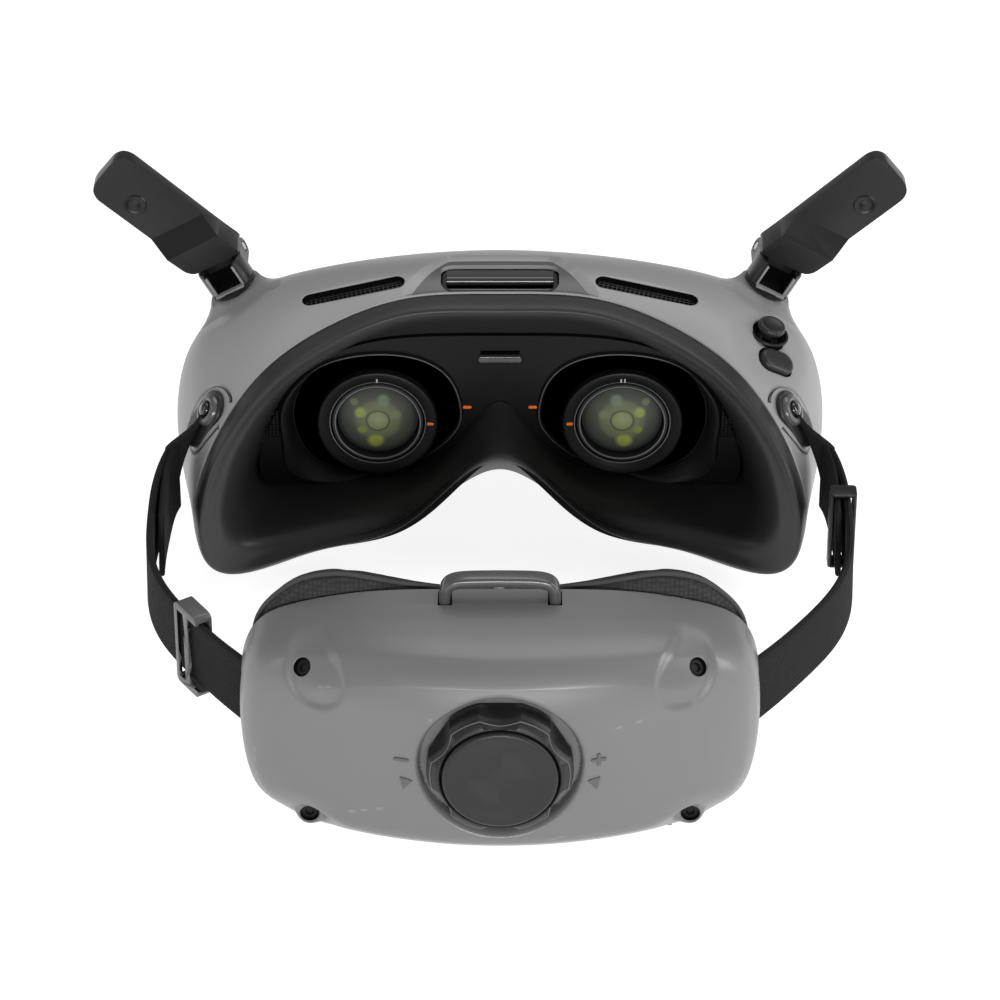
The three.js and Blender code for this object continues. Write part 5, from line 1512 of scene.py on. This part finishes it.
def make_pack_shell():
    rows, turn = pack_rows()
    centre = np.array([0, -125, KNOB_Z])
    normals = away_from(rows, centre)
    outer = pressed(rows, normals)
    inner = rows - PACK_WALL * normals

    def flat_ring(radius, deep):
        return np.column_stack([radius * np.sin(turn), np.full(PACK_AROUND, PACK_REAR_Y + deep),
                                KNOB_Z + radius * np.cos(turn)])

    floor_rows = [flat_ring(r, KNOB_WELL_DEPTH) for r in (18.4, 12, 3.8)]
    under_rows = [flat_ring(r, KNOB_WELL_DEPTH + PACK_WALL) for r in (3.8, 12, 18.0)]
    edge = outer[0]
    beyond = unit(outer[0] - outer[1])
    lip = [edge - 0.5 * beyond - 0.5 * normals[0] + 0.5 * (beyond * math.sin(a) + normals[0] * math.cos(a))
           for a in ROUNDING_STEPS]
    body = loft([*lip, *outer[1:], *floor_rows, *under_rows, *inner[::-1]], closed=True)
    obj = new_object("pack_casing", *body)
    source = obj.data.copy()
    tree = BVHTree.FromPolygons([v.co for v in source.vertices],
                                [face.vertices[:] for face in source.polygons])
    bores = []
    frames = [screw_frame(outer, away_from(outer, centre), *UPPER_SCREW),
              (LOWER_SEAT, tangent_axes(np.array([0, -1, 0]), [1, 0, 0]))]
    for at, axes in frames:
        mouth = [(POCKET_R, -5), (POCKET_R, -0.4), (POCKET_R + 0.25, -0.05), (POCKET_R + 1.4, 1.2)]
        bore = turned(mouth, axes, at, 40)
        bores += [bore, mirrored(bore)]
    strap_slot = box_body((57.5, -127.5, STRAP_Z - 11), (64.5, -115.5, STRAP_Z + 11))
    loop_hole = box_body((LOOP_HALF - 1.7, -128, 60), (LOOP_HALF + 1.7, -122.1, 70))
    port = box_body((32.4, -132.7, -1.4), (42.4, -126.1, 10.6))
    power = turned([(3.5, -3), (3.5, 7)], np.eye(3), (24.5, -130.5, 0), 48)
    slots = [merged(body, mirrored(body)) for body in (strap_slot, loop_hole)]
    carve(obj, merged(*bores), *slots, port, power)
    smooth_like(obj, tree, source)
    finish_piece(obj, "pack_grey", "rear_pack", "pack_shell", slot="grey_shell", shaded=True)
    # Painted shade: the screw pockets' walls are painted near-black.
    painted(obj, "black_and_painted_shade", in_screw_pocket_shade(frames))
    # Painted shade: the signs are a darker grey than the shell, in place of the shading at their raised edges.
    piece("knob_signs", sign_marks(), "dim_grey", "rear_pack", slot="grey_shell", angle=40)
    for height, (at, axes) in zip(("upper", "lower"), frames):
        head = [(POCKET_R + 0.05, -3.4), (POCKET_R + 0.05, -1.35), (1.95, -1.1), (1.15, -1.05), (0.9, -1.7)]
        screw = turned(head, axes, at, 40)
        for name, side in SIDES.items():
            piece(f"{name}_{height}_screw_head", on_side(screw, side), "black_matte", "rear_pack",
                  f"{name}_{height}_screw", slot="steel", angle=40)


def pack_layer(outline, inset, offset, around):
    """An outline, smaller all round, at a distance from the shell's edge towards the head."""
    x = outline[:, 0] * (1 - inset / PACK_HALF_WIDTH)
    z = mix(PACK_MIDDLE_Z, outline[:, 1], 1 - inset / PACK_MIDDLE_Z)
    y = pack_edge(outline[:, 0]) + offset * (1 + 0.2 * bolster(outline[:, 0]))
    return closed_spline(whole_loop(np.column_stack([x, y, z])), around)


def make_pack_base():
    layers = [pack_layer(pack_outline, inset, deep, 256)
              for inset, deep in ((3.2, -2.2), (2.75, -2.0), (2.7, -0.6), (3.1, -0.2))]
    tray = new_object("pack_lid", *loft(layers))
    notch = box_body((56, -126, STRAP_Z - 11), (65, -114, STRAP_Z + 11))
    carve(tray, merged(notch, mirrored(notch)))
    finish_piece(tray, "dark_plastic", "rear_pack", "pack_base")


def bolster(x):
    return smooth(np.abs(x), 6, 36)


cushion_outline = np.array([
    [0, 62.2], [14.4, 63], [25, 64.2], [33, 65.6], [39.4, 66.4], [46, 65.4], [51.5, 62.6], [57.3, 56.6],
    [60.2, 49], [60.8, 38], [60, 24], [56.5, 11.5], [49.5, 5.4], [38, 3.4], [20, 3], [0, 3],
])
CUSHION_LAYERS = [(3.6, 0.2), (1.6, 1.4), (0.8, 3.2), (2.2, 6.2), (7, 8.6), (16, 9.4), (24, 9.2), (30, 8.8)]


def make_head_cushion():
    sections = [pack_layer(cushion_outline, inset, out, 220) for inset, out in CUSHION_LAYERS]
    rows = open_spline(np.array(sections), 44)
    cushion = new_object("head_cushion_pad", *loft(rows))
    remesh = cushion.modifiers.new("remesh", "REMESH")
    remesh.mode = "VOXEL"
    remesh.voxel_size = 2.0 * MM
    bpy.context.view_layer.update()
    applied(cushion)
    inflate(cushion)
    sewn(cushion)
    more = cushion.modifiers.new("smooth", "SUBSURF")
    more.levels = more.render_levels = 1
    bpy.context.view_layer.update()
    applied(cushion)
    finish_piece(cushion, "cushion_cloth", "rear_pack", "head_cushion", angle=75)
    seam_line = pack_layer(cushion_outline, 0.9, 2.5, 220)
    piece("cushion_piping", piping(seam_line, 0.6), "thread", "rear_pack", slot="cushion_cloth", angle=60)


CLOTH_FRAMES = 20
CUSHION_CAP = 1.6 * MM


def inflate(obj):
    """Swells the pad as filled cloth; the edge that is glued to the pack's lid stays where it is."""
    start = [v.co.copy() for v in obj.data.vertices]
    edge_y = (PACK_FRONT_Y + 2.6 + SHIFT[1]) * MM
    pinned = obj.vertex_groups.new(name="glued")
    pinned.add([i for i, co in enumerate(start) if co.y < edge_y], 1.0, "REPLACE")
    cloth = obj.modifiers.new("cloth", "CLOTH")
    cloth.settings.use_pressure = True
    cloth.settings.uniform_pressure_force = 4
    cloth.settings.effector_weights.gravity = 0
    cloth.settings.vertex_group_mass = "glued"
    cloth.settings.tension_stiffness = 12
    cloth.settings.compression_stiffness = 12
    cloth.settings.bending_stiffness = 0.6
    cloth.settings.quality = 6
    cloth.point_cache.frame_start = 1
    cloth.point_cache.frame_end = CLOTH_FRAMES
    for step in range(1, CLOTH_FRAMES + 1):
        scene.frame_set(step)
    applied(obj)
    scene.frame_set(1)
    for vertex, co in zip(obj.data.vertices, start):
        move = vertex.co - co
        if move.length > CUSHION_CAP:
            vertex.co = co + move * (CUSHION_CAP / move.length)


def sewn(obj):
    """Presses the sewn channel between the two bolsters, and one across each of them, into the cover."""
    front_from = (PACK_FRONT_Y + 5 + SHIFT[1]) * MM
    for vertex in obj.data.vertices:
        if vertex.co.y < front_from:
            continue
        x, z = vertex.co.x / MM, vertex.co.z / MM - SHIFT[2]
        middle = math.exp(-(x / 1.3) ** 2)
        curve = abs(x) - 33 - 6 * math.cos((z - 32) / 32)
        outer = math.exp(-(curve / 1.1) ** 2)
        depth = float(smooth(vertex.co.y / MM, front_from / MM, front_from / MM + 3))
        vertex.co.y -= (1.5 * middle + 1.1 * outer) * MM * depth


def piping(line, radius):
    """A thin welt that follows a closed line."""
    along = unit(np.roll(line, -1, axis=0) - np.roll(line, 1, axis=0))
    side = unit(np.cross(along, [0, 1, 0]))
    up = np.cross(along, side)
    turn = np.arange(10) * 2 * math.pi / 10
    rings = [p + radius * (np.outer(np.cos(turn), s) + np.outer(np.sin(turn), u))
             for p, s, u in zip(line, side, up)]
    return loft(rings, closed=True)


def make_pack_loop():
    half = [[-LOOP_HALF, -125, 61.6], [-LOOP_HALF, -125, 65.4], [-12.2, -124.9, 67.8], [-9.4, -124.8, 68.9],
            [-4.5, -124.8, 69.15], [0, -124.8, 69.2]]
    path = half + [[-x, y, z] for x, y, z in half[-2::-1]]
    line = open_spline(np.array(path), 110)
    along = unit(np.gradient(line, axis=0))
    side = unit(np.column_stack([-along[:, 2], 0 * along[:, 0], along[:, 0]]))
    across = np.array([0, 1, 0])
    section = grown(rounded_rect(2.2, 4.3, 0.7, 4), 0.25)
    rings = [p + np.outer(section[:, 0], s) + np.outer(section[:, 1], across) for p, s in zip(line, side)]
    piece("top_strap_loop", loft(rings), "loop_grey", "rear_pack", "pack_loop", slot="mid_grey", angle=35)


# ---- size knob ----
KNOB_SCALLOPS = 6
SCALLOP_HALF = math.radians(16.5)


def make_knob():
    around = 576
    turn = np.arange(around) * 2 * math.pi / around
    off = np.abs((turn * KNOB_SCALLOPS / (2 * math.pi) + 0.5) % 1 - 0.5) * 2 * math.pi / KNOB_SCALLOPS
    scoop = np.clip(1 - (off / SCALLOP_HALF) ** 2, 0, 1)

    def ring(radius, y, depth):
        r = radius - depth * scoop
        return np.column_stack([r * np.sin(turn), np.full(around, y), KNOB_Z + r * np.cos(turn)])

    layers = [(16.2, -151.2, 0.3), (16.8, -151.5, 0.6), (17.2, -152.4, 1.4), (17.35, -153.6, 1.8),
              (17.4, -156.2, 2.0), (17.25, -156.9, 2.0), (16.9, -157.4, 2.0), (16.2, -158.3, 1.7),
              (15.4, -159.1, 1.1), (14.9, -159.4, 0.4), (14.5, -159.45, 0), (14.25, -159.2, 0),
              (14.15, -158.6, 0), (14.15, -155.7, 0), (6, -155.7, 0)]
    body = loft([ring(*layer) for layer in layers])
    # Painted highlight: a thin grey welt along the scalloped front edge of the dial.
    line = piping(ring(16.5, -158.05, 1.9), 0.16)
    piece("dial_edge_highlight", line, "dim_grey", "knob", slot="dark_plastic", angle=60)
    stem = turned([(3.2, -152), (3.2, -144)], XZ, (0, 0, KNOB_Z), 40)
    piece("size_dial", merged(body, stem), "knob_grip", "knob", "size_knob", slot="dark_plastic", angle=28)
    dished = [(0.01, -159.35), (6, -159.45), (9.5, -159.75), (11.2, -160.1), (12.3, -160.32), (13.0, -160.35),
              (13.5, -160.1), (13.75, -159.6), (13.8, -158.9), (13.8, -156.2), (0.01, -156.2)]
    cap = turned(dished, XZ, (0, 0, KNOB_Z), 160)
    piece("dial_cap", cap, "knob_grip", "knob", "knob_cap", slot="dark_plastic", angle=45)


def make_power_button():
    profile = [(3.9, 4.7), (3.9, 3.75), (3.2, 3.7), (3.2, 0.95), (3.05, 0.75), (2.6, 0.65), (1.2, 0.72),
               (0.01, 0.75)]
    body = turned([(0.01, 4.7)] + profile, np.eye(3), (24.5, -130.5, 0), 48)
    piece("power_key", body, "dark_plastic", "rear_pack", "power_button", slot="dark_plastic")


# ---- CAD nodes that keep their shape ----
KEPT_NODES = {
    "memory_card_socket": "steel", "main_board": "circuit_board", "heat_sink": "aluminium",
    "fan_rotor": "dark_plastic", "joystick_rocker": "dark_plastic", "joystick_stem": "dark_plastic",
    "knob_pinion": "mid_grey", "charge_board": "circuit_board", "right_antenna_pin": "steel",
    "left_antenna_pin": "steel", "right_band_rack": "mid_grey", "left_band_rack": "mid_grey",
    "upper_battery_cell": "cell_wrap", "lower_battery_cell": "cell_wrap",
    "right_display_panel": "gloss_black", "left_display_panel": "gloss_black",
}


def dress_kept_nodes():
    for name, look in KEPT_NODES.items():
        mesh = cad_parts[name].data
        mesh.materials.clear()
        mesh.materials.append(looks[look])


# ---- the object ----
make_housing()
make_front_cover()
make_face_pad()
make_eyepiece_plate()
make_eyepieces()
make_focus_wheels()
make_strap_bar()
make_vent_meshes()
make_controls()
make_antennas()
make_anchors()
make_straps()
make_keeper()
make_buckle()
make_pack_shell()
make_pack_base()
make_head_cushion()
make_pack_loop()
make_knob()
make_power_button()
dress_kept_nodes()

make_camera()
make_stage()
